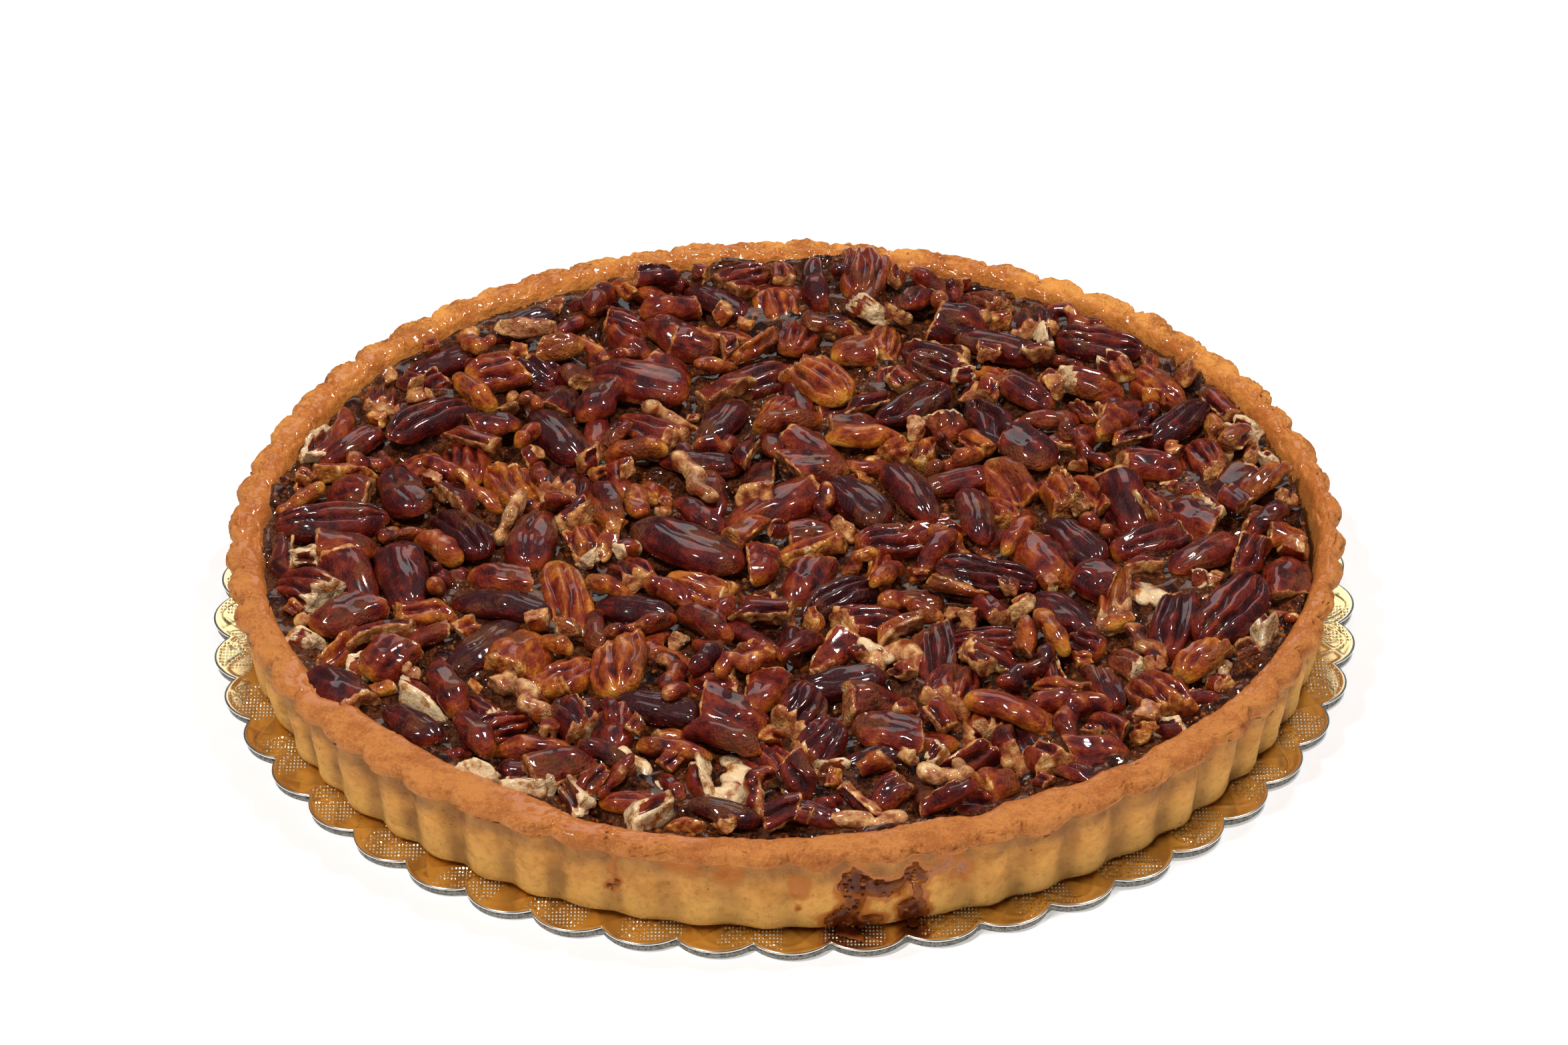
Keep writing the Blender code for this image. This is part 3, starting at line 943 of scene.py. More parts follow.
    def shape(self, item: bpy.types.Object, angles: np.ndarray, levels: np.ndarray) -> None:
        """Flute the rings, roughen them by hand and crumble the lip.

        Args:
            item: The shell, still a plain stack of rings.
            angles: Each vertex's bearing.
            levels: Each vertex's height, inset and share of the flutes' depth.
        """
        height, inset, share = levels.T
        lip = smooth_step(20.2 * MM, 21.8 * MM, height) * smooth_step(9.2 * MM, 8.0 * MM, inset)
        wall = (inset < 7.1 * MM) & (height < 21 * MM)
        outwards = np.stack([np.cos(angles), np.sin(angles), np.zeros_like(angles)], 1)
        around = outwards * self.radius
        standing = around + height[:, None] * (0, 0, 1)
        wobble = 0.2 * math.tau / self.flutes * rumble(around, 20 * MM, 22)
        crest = self.flute(angles + wobble, 0.8 * smooth_step(19.5 * MM, 22.5 * MM, height))
        number = np.round((angles - self.first_flute) / math.tau * self.flutes).astype(int) % self.flutes
        push = self.pushes[number] * crest**2
        calm = self.calm(angles)
        rise = height / self.height
        lift = rise * (0.5 * MM * self.hand_made(angles) + 0.5 * push)
        deep = self.depth * (1 + 0.3 * rumble(around, 16 * MM, 21)) * np.where(wall, calm, calm**0.4)
        valley = share * (deep * (1 - crest) - push * smooth_step(17 * MM, 22 * MM, height))
        slow = rumble(around, 14 * MM, 1)
        inner = smooth_step(4 * MM, 8 * MM, inset)
        spread = self.breadth(angles) * smooth_step(1.5 * MM, 7 * MM, inset) * (height > 21 * MM)
        spread = np.where((inset > 7.2 * MM), self.breadth(angles), spread)
        radius = self.radius - inset - spread - valley + inner * (0.7 * MM * slow)
        radius += wall * 0.45 * MM * rumble(standing, 8 * MM, 2)
        under = wall * smooth_step(12 * MM, 19.5 * MM, height)
        radius += under * np.maximum(1.5 * MM * rumble(around, 13 * MM, 24) - 0.4 * MM, -0.9 * MM)
        seam = np.abs(height - 18.2 * MM - 1.5 * MM * rumble(around, 18 * MM, 8)) / (0.55 * MM)
        radius -= wall * 0.5 * MM * np.exp(-(seam**2)) * smooth_step(-0.1, 0.25, rumble(around, 11 * MM, 9))
        spilt = self.run_down(angles, height) * wall
        placed = np.stack([radius * np.cos(angles), radius * np.sin(angles), height + lift], 1)
        edge = smooth_step(15 * MM, 18.5 * MM, height) * smooth_step(24 * MM, 22 * MM, height) * (inset < 3 * MM)
        placed[:, 2] += edge * 1.5 * MM * rumble(around, 8 * MM, 23)
        sandy = 0.75 + 0.6 * smooth_step(-0.5, 0.1, np.sin(angles))
        crumble = rumble(placed, 2.6 * MM, 3) + 0.8 * rumble(placed, 1.2 * MM, 4)
        streaky = np.stack([angles * self.radius * 0.35, inset + spread, height], 1)
        crack = 1 - smooth_step(0.0, 0.12, np.abs(rumble(streaky, 2.6 * MM, 5)))
        rough = lip * sandy * (0.42 * MM * crumble - 0.8 * MM * crack * (rumble(placed, 9 * MM, 6) > -0.05))
        pits = wall * 0.7 * MM * smooth_step(0.36, 0.6, rumble(streaky * (1, 1, 1.6), 1.8 * MM, 7))
        placed[:, 2] += np.where(inset > 0.9 * MM, np.minimum(rough, 0.5 * MM), rough * 0.4) * (lip > 0)
        placed += outwards * (np.where(inset < 3 * MM, np.minimum(rough, 0.2 * MM), 0.0) - pits)[:, None]
        # Painted shade: the flute valleys and a band under the lip are marked here to be darkened in the colour.
        band = smooth_step(13.5 * MM, 18.0 * MM, height + 2 * MM * rumble(around, 10 * MM, 27))
        shaded = 0.85 * smooth_step(0.8, 0.1, crest) * calm + 0.85 * band
        shaded = wall * shaded * (0.85 + 0.7 * rumble(standing, 5 * MM, 10))
        wash = self.washed(angles)
        wet = smooth_step(5.0 * MM, 7.6 * MM, inset + 1.4 * MM * slow + 4.6 * MM * wash) * ~wall
        brown = smooth_step(18.6 * MM, 22.0 * MM, height + 1.4 * MM * rumble(around, 4 * MM, 11))
        set_values(item, "lip", np.clip(brown * smooth_step(9.4 * MM, 8.4 * MM, inset), 0, 1))
        # Mask of the painted shade in the flute valleys and under the lip.
        set_values(item, "fold", np.clip(shaded, 0, 1))
        set_values(item, "pale", smooth_step(-0.1, 0.7, np.sin(angles)))
        # Painted light: marks the wall's foot, to be lightened for the light the card throws back up.
        set_values(item, "foot", wall * smooth_step(14 * MM, 2 * MM, height + 3 * MM * slow))
        set_values(item, "syrup", np.clip(wet * (0.75 + 0.25 * crumble), 0, 1) * 0.85)
        set_values(item, "stain", spilt)
        placed += (self.centre.x, self.centre.y, self.base)
        set_places(item, placed)

    def spill(self, shell: bpy.types.Object) -> bpy.types.Object:
        """Syrup set on the outside of the wall: the stained part of the shell, copied and thickened."""
        deep = np.empty(len(shell.data.vertices), np.float32)
        shell.data.attributes["stain"].data.foreach_get("value", deep)
        item = shell.copy()
        item.data = shell.data.copy()
        item.name = "syrup_spill"
        bpy.context.collection.objects.link(item)
        rows = places(item)
        away = rows * (1, 1, 0)
        away /= np.linalg.norm(away, axis=1, keepdims=True)
        froth = 1 + 1.1 * rumble(rows, 1.8 * MM, 12)
        set_places(item, rows + away * (smooth_step(0.25, 0.9, deep) * froth * 0.7 * MM - 0.12 * MM)[:, None])
        set_values(item, "depth", deep)
        with editing(item):
            shape = bmesh.from_edit_mesh(item.data)
            for face in shape.faces:
                face.select_set(min(deep[vertex.index] for vertex in face.verts) <= 0.28)
            bmesh.update_edit_mesh(item.data)
            bpy.ops.mesh.delete(type="FACE")
        apply_modifier(item, "SOLIDIFY", thickness=0.5 * MM, offset=-1)
        return item

    def pool(self) -> bpy.types.Object:
        """Syrup that reached the card: flat drops grown into one another."""
        parts = []
        for along, out, size in ((13.6, -5.4, 2.4), (15.8, -4.0, 2.3), (17.4, -2.2, 1.6), (31.0, -5.6, 1.9)):
            turn = along * MM / self.radius - math.pi / 2
            away = self.radius + out * MM
            spot = (self.centre.x + away * math.cos(turn), self.centre.y + away * math.sin(turn), self.base + 0.1 * MM)
            parts.append(
                added(
                    bpy.ops.mesh.primitive_uv_sphere_add, "syrup_pool", segments=24, ring_count=12, radius=size * MM,
                    location=spot, rotation=(0, 0, turn), scale=(1.2, 0.9, 0.14),
                )
            )
        make_active(parts[0])
        for part in parts:
            part.select_set(True)
        bpy.ops.object.join()
        apply_modifier(parts[0], "REMESH", mode="VOXEL", voxel_size=0.35 * MM)
        apply_modifier(parts[0], "SMOOTH", factor=0.6, iterations=6)
        rows = places(parts[0])
        set_values(parts[0], "depth", 0.8 + 0.5 * rumble(rows, 3 * MM, 51))
        return parts[0]

    def build(self, shared: SharedGroups) -> bpy.types.Object:
        """Make the shell and the syrup on it, and hand back the syrup."""
        shell = self.shell()
        spill = self.spill(shell)
        finished(shell, "crust", BakedCrust().material(shared), "crust")
        glaze = SyrupGlaze().material(shared)
        finished(spill, "filling", glaze)
        finished(self.pool(), "filling", glaze)
        return spill


# ================================================================ pecans


class NutForm(Enum):
    """How a piece of pecan looks from above."""

    PLUMP = "plump"
    RIDGED = "ridged"
    FOLDED = "folded"
    FINGER = "finger"
    KNOT = "knot"


@dataclass(frozen=True)
class Kernel:
    """One pecan half as it leaves its shell, lying along X with its round back up."""

    form: NutForm = NutForm.PLUMP
    seed: int = 0
    length: float = 31 * MM
    width: float = 0.45
    back: float = 0.175
    belly: float = 0.095
    grooves: tuple[float, ...] = (-0.36, 0.38)
    groove_depth: float = 0.75 * MM
    groove_width: float = 0.1
    channel: float = 0.062
    bluntness: float = 3.2
    taper: float = 0.12
    bow: float = 0.05
    lumps: float = 0.5 * MM
    segments: int = 56
    rings: int = 40

    def model(self) -> bpy.types.Object:
        """Shape the half from a ball whose poles are its two ends."""
        item = added(
            bpy.ops.mesh.primitive_uv_sphere_add, f"kernel_{self.form.value}_{self.seed}",
            segments=self.segments, ring_count=self.rings, radius=1.0, rotation=(0, math.pi / 2, 0),
        )
        rows = places(item)
        along = np.clip(rows[:, 0], -1, 1)
        along = np.sign(along) * np.abs(along) ** 0.86
        turn = np.arctan2(rows[:, 2], rows[:, 1])
        across, up = np.cos(turn), np.sin(turn)
        girth = np.maximum(1 - np.abs(along) ** self.bluntness, 0) ** 0.5 * (1 - self.taper * along)
        half = self.length / 2
        wave = np.sin(3.1 * along + self.seed) * 0.06 + np.sin(7.3 * along + 2 * self.seed) * 0.04
        y = self.width * half * girth * across * (1 + wave * np.sign(across))
        top = self.back * self.length * girth * np.maximum(up, 0) ** 0.8
        under = self.belly * self.length * girth * np.maximum(-up, 0) ** 0.7
        fade = smooth_step(1.0, 0.72, np.abs(along))
        for number, groove in enumerate(self.grooves):
            drift = 0.07 * np.sin(4.2 * along + number * 2.4 + self.seed) + 0.03 * np.sin(11 * along + number)
            valley = np.exp(-(((across - groove - drift) / self.groove_width) ** 2))
            top -= self.groove_depth * valley * (0.35 + 0.65 * fade) * (up > 0) * np.minimum(girth * 1.4, 1)
        meander = 0.16 * np.sin(5.5 * along + self.seed)
        gully = np.exp(-(((across - meander) / 0.27) ** 2)) * fade
        lobes = 0.5 + 0.5 * np.cos(8.5 * along + self.seed)
        under -= (self.channel * self.length * gully + 0.016 * self.length * lobes * (1 - gully)) * (up < 0)
        x = half * along
        z = top - np.maximum(under, -0.1 * self.length * girth) - self.bow * x**2 / half
        y += 0.09 * math.sin(self.seed * 1.7) * x**2 / half
        shaped = np.stack([x, y, z], 1)
        stretched = shaped * (0.42, 1.0, 1.0)
        wrinkles = rumble(stretched, 2.7 * MM, self.seed) * 0.34 * MM
        wrinkles += rumble(stretched, 1.2 * MM, self.seed + 9) * 0.14 * MM
        broad = rumble(shaped, 7 * MM, self.seed + 3) * self.lumps
        outwards = np.stack([0 * x, across, up], 1) * girth[:, None] ** 0.5
        set_places(item, shaped + outwards * (wrinkles + broad)[:, None])
        return item


@dataclass(frozen=True)
class Knot:
    """A small curly lump of pecan: a few rounded lobes grown into one another."""

    seed: int = 0
    length: float = 11 * MM
    lobes: int = 6
    form: NutForm = NutForm.KNOT

    def model(self) -> bpy.types.Object:
        """Join a winding row of balls; the rebuild that follows melts them together."""
        rng = random.Random(self.seed)
        spot = Vector((-self.length / 3, 0, 0))
        heading = rng.uniform(-0.6, 0.6)
        parts = []
        for number in range(self.lobes):
            size = rng.uniform(1.7, 2.9) * MM
            parts.append(
                added(
                    bpy.ops.mesh.primitive_uv_sphere_add, f"lobe_{number}", segments=16, ring_count=10, radius=size,
                    location=spot, rotation=(0, 0, heading), scale=(rng.uniform(1.0, 1.6), 1.0, rng.uniform(0.8, 1.1)),
                )
            )
            heading += rng.uniform(-1.3, 1.3)
            step = Vector((math.cos(heading), math.sin(heading), rng.uniform(-0.25, 0.25)))
            spot = spot + step * size * rng.uniform(1.0, 1.5)
        make_active(parts[0])
        for part in parts:
            part.select_set(True)
        bpy.ops.object.join()
        return parts[0]


class Cut(NamedTuple):
    """A break through a kernel: where it passes, and the side that falls away."""

    place: tuple[float, float, float]
    side: tuple[float, float, float]


class Template:
    """A modelled pecan piece as arrays, ready to be copied."""

    def __init__(self, kernel: Kernel | Knot, cuts: Sequence[Cut] = (), faces: int = 0) -> None:
        """Model a piece, break it along the cuts and round and roughen the breaks.

        Args:
            kernel: The half or knot to start from.
            cuts: The breaks, in shares of the kernel's length.
            faces: About how many triangles to keep; 0 leaves the half whole.
        """
        item = kernel.model()
        planes = [(Vector(cut.place) * kernel.length, Vector(cut.side).normalized()) for cut in cuts]
        for place, side in planes:
            with editing(item):
                bpy.ops.mesh.select_all(action="SELECT")
                bpy.ops.mesh.bisect(plane_co=place, plane_no=side, use_fill=True, clear_outer=True)
        cloud = places(item)
        if faces:
            apply_modifier(item, "REMESH", mode="VOXEL", voxel_size=0.42 * MM)
            apply_modifier(item, "SMOOTH", factor=0.6, iterations=5 if faces > 400 else 11)
            self.roughen(item, planes, kernel.seed)
        if kernel.form is NutForm.FOLDED:
            set_places(item, places(item) * (1, -1, -1))
            cloud = cloud * (1, -1, -1)
            planes = [(Vector((p.x, -p.y, -p.z)), Vector((s.x, -s.y, -s.z))) for p, s in planes]
        if faces:
            apply_modifier(item, "TRIANGULATE")
            apply_modifier(item, "DECIMATE", ratio=min(1.0, faces / len(item.data.polygons)))
        apply_modifier(item, "TRIANGULATE")
        self.rows = places(item)
        self.flesh = self.bareness(self.rows, planes)
        if kernel.form is NutForm.KNOT:
            self.flesh = 0.5 + 0.5 * rumble(self.rows, 4 * MM, kernel.seed)
        low, high = cloud.min(0), cloud.max(0)
        self.rows -= (low + high) / 2
        self.cloud = cloud - (low + high) / 2
        self.size = high - low
        corners = np.empty(len(item.data.loops), np.int64)
        item.data.loops.foreach_get("vertex_index", corners)
        self.faces = corners.reshape(-1, 3)
        self.tint = self.shading()
        bpy.data.objects.remove(item)

    def shading(self) -> np.ndarray:
        """How much lighter the thin ends and edges are, with painted shade from how hollow the surface is: darker in
        the folds, lighter on the ridges.
        """
        rows = self.rows / self.size
        ends = smooth_step(0.36, 0.5, np.abs(rows[:, 0]))
        rim = smooth_step(0.05, -0.3, rows[:, 2])
        soft = self.rows.copy()
        degree = np.maximum(np.bincount(self.faces.ravel(), minlength=len(soft)), 1)[:, None]
        for _ in range(6):
            total = np.zeros_like(soft)
            for one, two in ((0, 1), (1, 2), (2, 0)):
                np.add.at(total, self.faces[:, one], soft[self.faces[:, two]])
            soft = 0.5 * soft + 0.5 * total / degree
        outwards = self.rows / np.maximum(np.linalg.norm(self.rows, axis=1, keepdims=True), 1e-6)
        crease = np.clip(((soft - self.rows) * outwards).sum(1) / (0.5 * MM), -1, 1)
        # Painted shade: the crease term darkens the folds and lightens the ridges.
        return 0.24 * ends + 0.2 * rim - 0.3 * crease

    @staticmethod
    def bareness(rows: np.ndarray, planes: Sequence[tuple[Vector, Vector]]) -> np.ndarray:
        """How near each point is to a break: 1 on it, 0 on the skin."""
        bare = np.zeros(len(rows))
        for place, side in planes:
            depth = (rows - np.array(place)) @ np.array(side)
            bare = np.maximum(bare, smooth_step(-1.3 * MM, -0.5 * MM, depth))
        return bare

    def roughen(self, item: bpy.types.Object, planes: Sequence[tuple[Vector, Vector]], seed: int) -> None:
        """Make the breaks crumbly and the whole piece a little lumpy."""
        rows = places(item)
        bare = self.bareness(rows, planes)
        normals = np.empty(len(item.data.vertices) * 3)
        item.data.vertices.foreach_get("normal", normals)
        broken = rumble(rows, 2.2 * MM, seed + 5) * 0.7 * MM + rumble(rows, 1.0 * MM, seed + 6) * 0.2 * MM
        lumpy = rumble(rows, 3.6 * MM, seed + 7) * 0.55 * MM
        set_places(item, rows + normals.reshape(-1, 3) * (broken * bare + lumpy)[:, None])


@dataclass
class Piece:
    """One copy of a template, in its place."""

    template: Template
    turn: np.ndarray
    place: np.ndarray
    scale: np.ndarray
    tone: float
    wet: float
    peel: float
    seed: int

    def rows(self) -> np.ndarray:
        """The copy's vertices where they belong."""
        return (self.template.rows * self.scale) @ self.turn.T + self.place


class Heap:
    """Many copies of pecan templates, joined into one mesh."""

    soft_top = 30.4 * MM
    squeeze = 1.2 * MM

    def __init__(self, name: str) -> None:
        """Start an empty heap."""
        self.name = name
        self.pieces: list[Piece] = []

    def add(self, piece: Piece) -> None:
        """Add one copy."""
        self.pieces.append(piece)

    def joined(self) -> bpy.types.Object:
        """Make the heap's single mesh, with what its material reads from each vertex."""
        rows, faces, start = [], [], 0
        marks = {"tone": [], "flesh": [], "wet": [], "peel": []}
        own = []
        for piece in self.pieces:
            shape = piece.template
            rows.append(piece.rows())
            faces.append(shape.faces + start)
            start += len(shape.rows)
            own.append(shape.rows * piece.scale + (piece.seed % 17 * 0.05, piece.seed % 13 * 0.07, piece.seed % 11 * 0.03))
            marks["tone"].append(piece.tone + shape.tint)
            marks["flesh"].append(shape.flesh)
            marks["wet"].append(np.full(len(shape.rows), piece.wet))
            marks["peel"].append(np.full(len(shape.rows), piece.peel))
        mesh = bpy.data.meshes.new(self.name)
        spots = np.concatenate(rows)
        over = np.maximum(spots[:, 2] - self.soft_top, 0.0)
        spots[:, 2] += self.squeeze * (1 - np.exp(-over / self.squeeze)) - over
        corners = np.concatenate(faces)
        mesh.vertices.add(start)
        mesh.loops.add(corners.size)
        mesh.polygons.add(len(corners))
        mesh.vertices.foreach_set("co", spots.ravel())
        mesh.loops.foreach_set("vertex_index", corners.ravel().astype(np.int32))
        mesh.polygons.foreach_set("loop_start", np.arange(0, corners.size, 3, dtype=np.int32))
        mesh.update(calc_edges=True)
        item = bpy.data.objects.new(self.name, mesh)
        bpy.context.collection.objects.link(item)
        set_vectors(item, "nut_place", np.concatenate(own))
        for label, values in marks.items():
            set_values(item, label, np.concatenate(values))
        return item


class Ground:
    """The height of what is already in the bowl, on a grid of square cells."""

    def __init__(self, centre: Vector, radius: float, level: float, crust: Crust, cell: float = 1.0 * MM) -> None:
        """Start with the bowl filled evenly to one level, and a little higher round its edge."""
        self.cell, self.radius = cell, radius
        self.count = int(math.ceil(2 * radius / cell)) + 1
        self.corner = np.array((centre.x, centre.y)) - radius
        self.centre = np.array((centre.x, centre.y))
        self.taken = np.zeros((self.count, self.count), bool)
        self.crust = crust
        ticks = (np.arange(self.count) + 0.5) * cell - radius
        across = np.stack(np.meshgrid(ticks, ticks, indexing="ij"), -1).reshape(-1, 2) + self.centre
        gap = self.room(across).reshape(self.count, self.count)
        self.bowl = gap > 2 * MM
        self.heights = level + 1.6 * MM * smooth_step(9 * MM, 1 * MM, gap)

    def room(self, rows: np.ndarray) -> np.ndarray:
        """How far each point is from the rim."""
        x, y = (rows[:, :2] - self.centre).T
        return self.radius - self.crust.breadth(np.arctan2(y, x)) - np.hypot(x, y)

    def cells(self, rows: np.ndarray) -> np.ndarray:
        """The flat number of the cell that each point is over."""
        steps = np.clip(((rows[:, :2] - self.corner) / self.cell).astype(int), 0, self.count - 1)
        return steps[:, 0] * self.count + steps[:, 1]

    def free(self) -> np.ndarray:
        """The middles of the cells with nothing on them."""
        steps = np.argwhere(self.bowl & ~self.taken)
        return self.corner + (steps + 0.5) * self.cell

    def rest(self, rows: np.ndarray, sink: float, share: float = 0.97) -> float:
        """How far a piece moves up or down to lie on what is there.

        Args:
            rows: The piece's points.
            sink: How deep it settles in, in metres.
            share: The share of its points that clear what is under them before it settles.

        Returns:
            The move along Z.
        """
        under = self.heights.ravel()[self.cells(rows)]
        return float(np.quantile(under - rows[:, 2], share)) - sink

    def overlap(self, rows: np.ndarray) -> float:
        """The share of a piece that lies over cells already taken."""
        return float(self.taken.ravel()[self.cells(rows)].mean())

    def inside(self, rows: np.ndarray, margin: float = 0.0) -> bool:
        """Whether a piece lies within the bowl."""
        return bool(self.room(rows).min() > margin)

    def cover(self, rows: np.ndarray) -> None:
        """Add a piece to the heights."""
        cells = self.cells(rows)
        np.maximum.at(self.heights.ravel(), cells, rows[:, 2])
        self.taken.ravel()[cells] = True


# The larger broken pieces, each as: x and y from the middle in millimetres, bearing in degrees, length in
# millimetres, then a letter for its form and a letter for its look.
LAID_PIECES = """
    -53 -31 -85 36 Ra, 36 -53 -90 29 Rd, 81 -29 87 29 Rh, -3 13 40 28 Pm, -48 52 -88 28 Nm,
    97 -40 79 28 Rd, -6 26 83 25 Pd, -46 16 -75 25 Na, -107 -22 -68 25 Pm, -69 -30 -16 25 Pd,
    63 -61 -81 24 Rd, 3 116 -3 24 Pm, -55 -60 38 23 Ra, 4 65 -82 23 Nd, 40 83 -31 23 Rd, -115 45 63 22 Fc,
    -81 38 86 22 Rm, -7 74 35 22 Rd, 85 12 -78 22 Pd, 92 -3 34 22 Rd, 5 -6 16 21 Sa, -42 31 -84 21 Nm,
    -108 -47 53 21 Sa, 22 122 88 21 Rm, -2 -98 -60 21 Rm, -18 19 -87 20 Nm, 24 -14 82 20 Ba,
    -13 -77 -34 20 Pm, 93 -24 -57 20 Kc, -3 44 -86 19 Nd, 37 4 18 19 Rm, -5 -68 79 19 Pm, -55 24 83 19 Rd,
    -109 -65 -51 19 Pd, -47 -40 -86 19 Nm, -87 -69 -42 19 Bc, -37 117 -38 19 Na, 103 7 -45 19 Pm,
    66 -12 -63 19 Pm, -35 -97 -59 19 Kc, 19 -120 -5 19 Kh, 57 23 -57 18 Fa, 6 -19 71 18 Pm,
    -21 -23 -18 18 Ra, -119 -24 -36 18 Rc, -125 -10 -83 18 Sd, -14 94 -25 18 Pa, 125 -21 81 18 Pm,
    -50 -110 -74 18 Bc, -32 -118 40 18 Bc, 1 -47 -85 17 Nd, 48 -76 -89 17 Rh, -69 27 -76 17 Ra,
    -64 -52 66 17 Pa, -49 90 -43 17 Sa, 79 18 -74 17 Fa, 113 20 51 17 Pd, -42 -82 85 17 Pm, 8 41 -46 16 Pm,
    -1 -32 -58 16 Ka, -9 -42 -43 16 Nm, 14 -43 46 16 Na, 50 -53 -19 16 Rm, 22 -74 14 16 Pm,
    -39 -50 -59 16 Ka, -44 13 -69 16 Nm, -34 19 -57 16 Ka, -90 -44 20 16 Pm, -64 78 -46 16 Rd,
    -41 102 -32 16 Rm, 11 101 13 16 Rd, 95 72 -43 16 Nd, 74 45 45 16 Pm, 120 20 51 16 Ra,
    -13 -102 -38 16 Kc, 43 -97 27 16 Bm, 56 -91 -75 16 Fd, 74 -95 -3 16 Pm, 33 -109 -87 16 Nd,
    79 -66 -71 16 Rd, 30 21 63 15 Kd, 12 -51 51 15 Pm, -28 -50 42 15 Ka, -109 -4 -1 15 Pm,
    -51 -71 21 15 Pm, -74 -72 -54 15 Rc, -21 -103 -84 15 Sc, 77 -81 -41 15 Fm, 24 -107 43 15 Rm,
    23 38 -39 14 Ka, 52 0 53 14 Nm, 32 -27 5 14 Rm, 28 -53 -89 14 Kh, 37 -77 -45 14 Nm, -17 -63 -1 14 Rm,
    -17 -49 -48 14 Nm, -83 -56 -86 14 Nm, -77 83 -17 14 Kd, -29 97 -45 14 Pm, -2 59 58 14 Pa,
    46 97 -20 14 Pd, 97 22 8 14 Bh, 93 10 -55 14 Rm, -37 -111 8 14 Rm, 65 -81 -41 14 Ka, -27 45 -60 13 Nm,
    55 -70 -88 13 Nd, -93 36 24 13 Ph, -52 9 47 13 Bd, 23 104 -52 13 Cc, -30 76 -23 13 Pm, 18 51 3 13 Pm,
    56 75 -44 13 Ra, 88 58 23 13 Pm, -62 -97 -19 13 Pm, 6 3 14 12 Pm, 117 46 -41 12 Bc, 117 -45 58 12 Bc,
    -61 -107 -8 12 Bc, 71 -102 -36 12 Rd, -41 48 -52 11 Nm, 61 9 -90 11 Nm, -62 27 -79 11 Nm,
    -65 43 62 11 Na, -83 -16 33 11 Nm, 107 11 -57 11 Sc, -51 -94 48 11 Nd, -27 -104 -65 11 Nm,
    36 -87 -11 11 Ph, 62 -98 -52 11 Bd, 42 -5 8 10 Ka, 22 -52 -26 10 Kc, -42 -78 -84 10 Nm,
    -117 -44 -23 10 Bc, -52 113 4 10 Nd, 13 61 18 10 Pm, 86 80 -49 10 Bc, 78 76 -39 10 Nm, 126 -2 -1 10 Pa,
    122 -35 -36 10 Ka, -27 -86 11 10 Pa, -73 -101 -39 10 Cc, 45 -113 -1 10 Fm, 11 -111 23 10 Nm,
    102 -70 -9 10 Sc, -56 -49 -27 9 Na, -28 122 2 9 Nm, -2 101 -34 9 Nm, 67 22 -39 9 Nm, 120 8 -1 9 Bm,
    10 -100 8 9 Bc, 92 -84 -1 9 Cc, -119 -11 -10 8 Cc, -104 -55 13 8 Cc, -69 -63 40 8 Ch, 69 29 72 8 Ch,
    -79 -91 10 8 Nm, 106 -59 -6 8 Bc, 94 -63 -6 8 Na, -98 -64 15 7 Ch, -78 -42 26 7 Ch, 69 76 -13 7 Na,
    111 38 -1 7 Ch, -43 -100 23 7 Ch, 85 -79 -37 7 Nd, 16 121 -1 6 Nd, -60 110 -6 5 Ch
"""


class Look(Enum):
    """How dark, syrupy or bare a piece is: tone, wetness of its breaks, and missing skin."""

    DARK = ("d", 0.14, 0.85, -0.2)
    MIDDLE = ("m", 0.32, 0.85, -0.1)
    AMBER = ("a", 0.56, 0.95, 0.05)
    HONEY = ("h", 0.62, 0.75, 0.38)
    CREAM = ("c", 0.30, 0.08, 0.36)


def turned(yaw: float, lean: float = 0.0, pitch: float = 0.0) -> np.ndarray:
    """A rotation: leaned about its length, pitched, then turned on the table."""
    turn = Matrix.Rotation(yaw, 3, "Z") @ Matrix.Rotation(pitch, 3, "Y") @ Matrix.Rotation(lean, 3, "X")
    return np.array(turn)


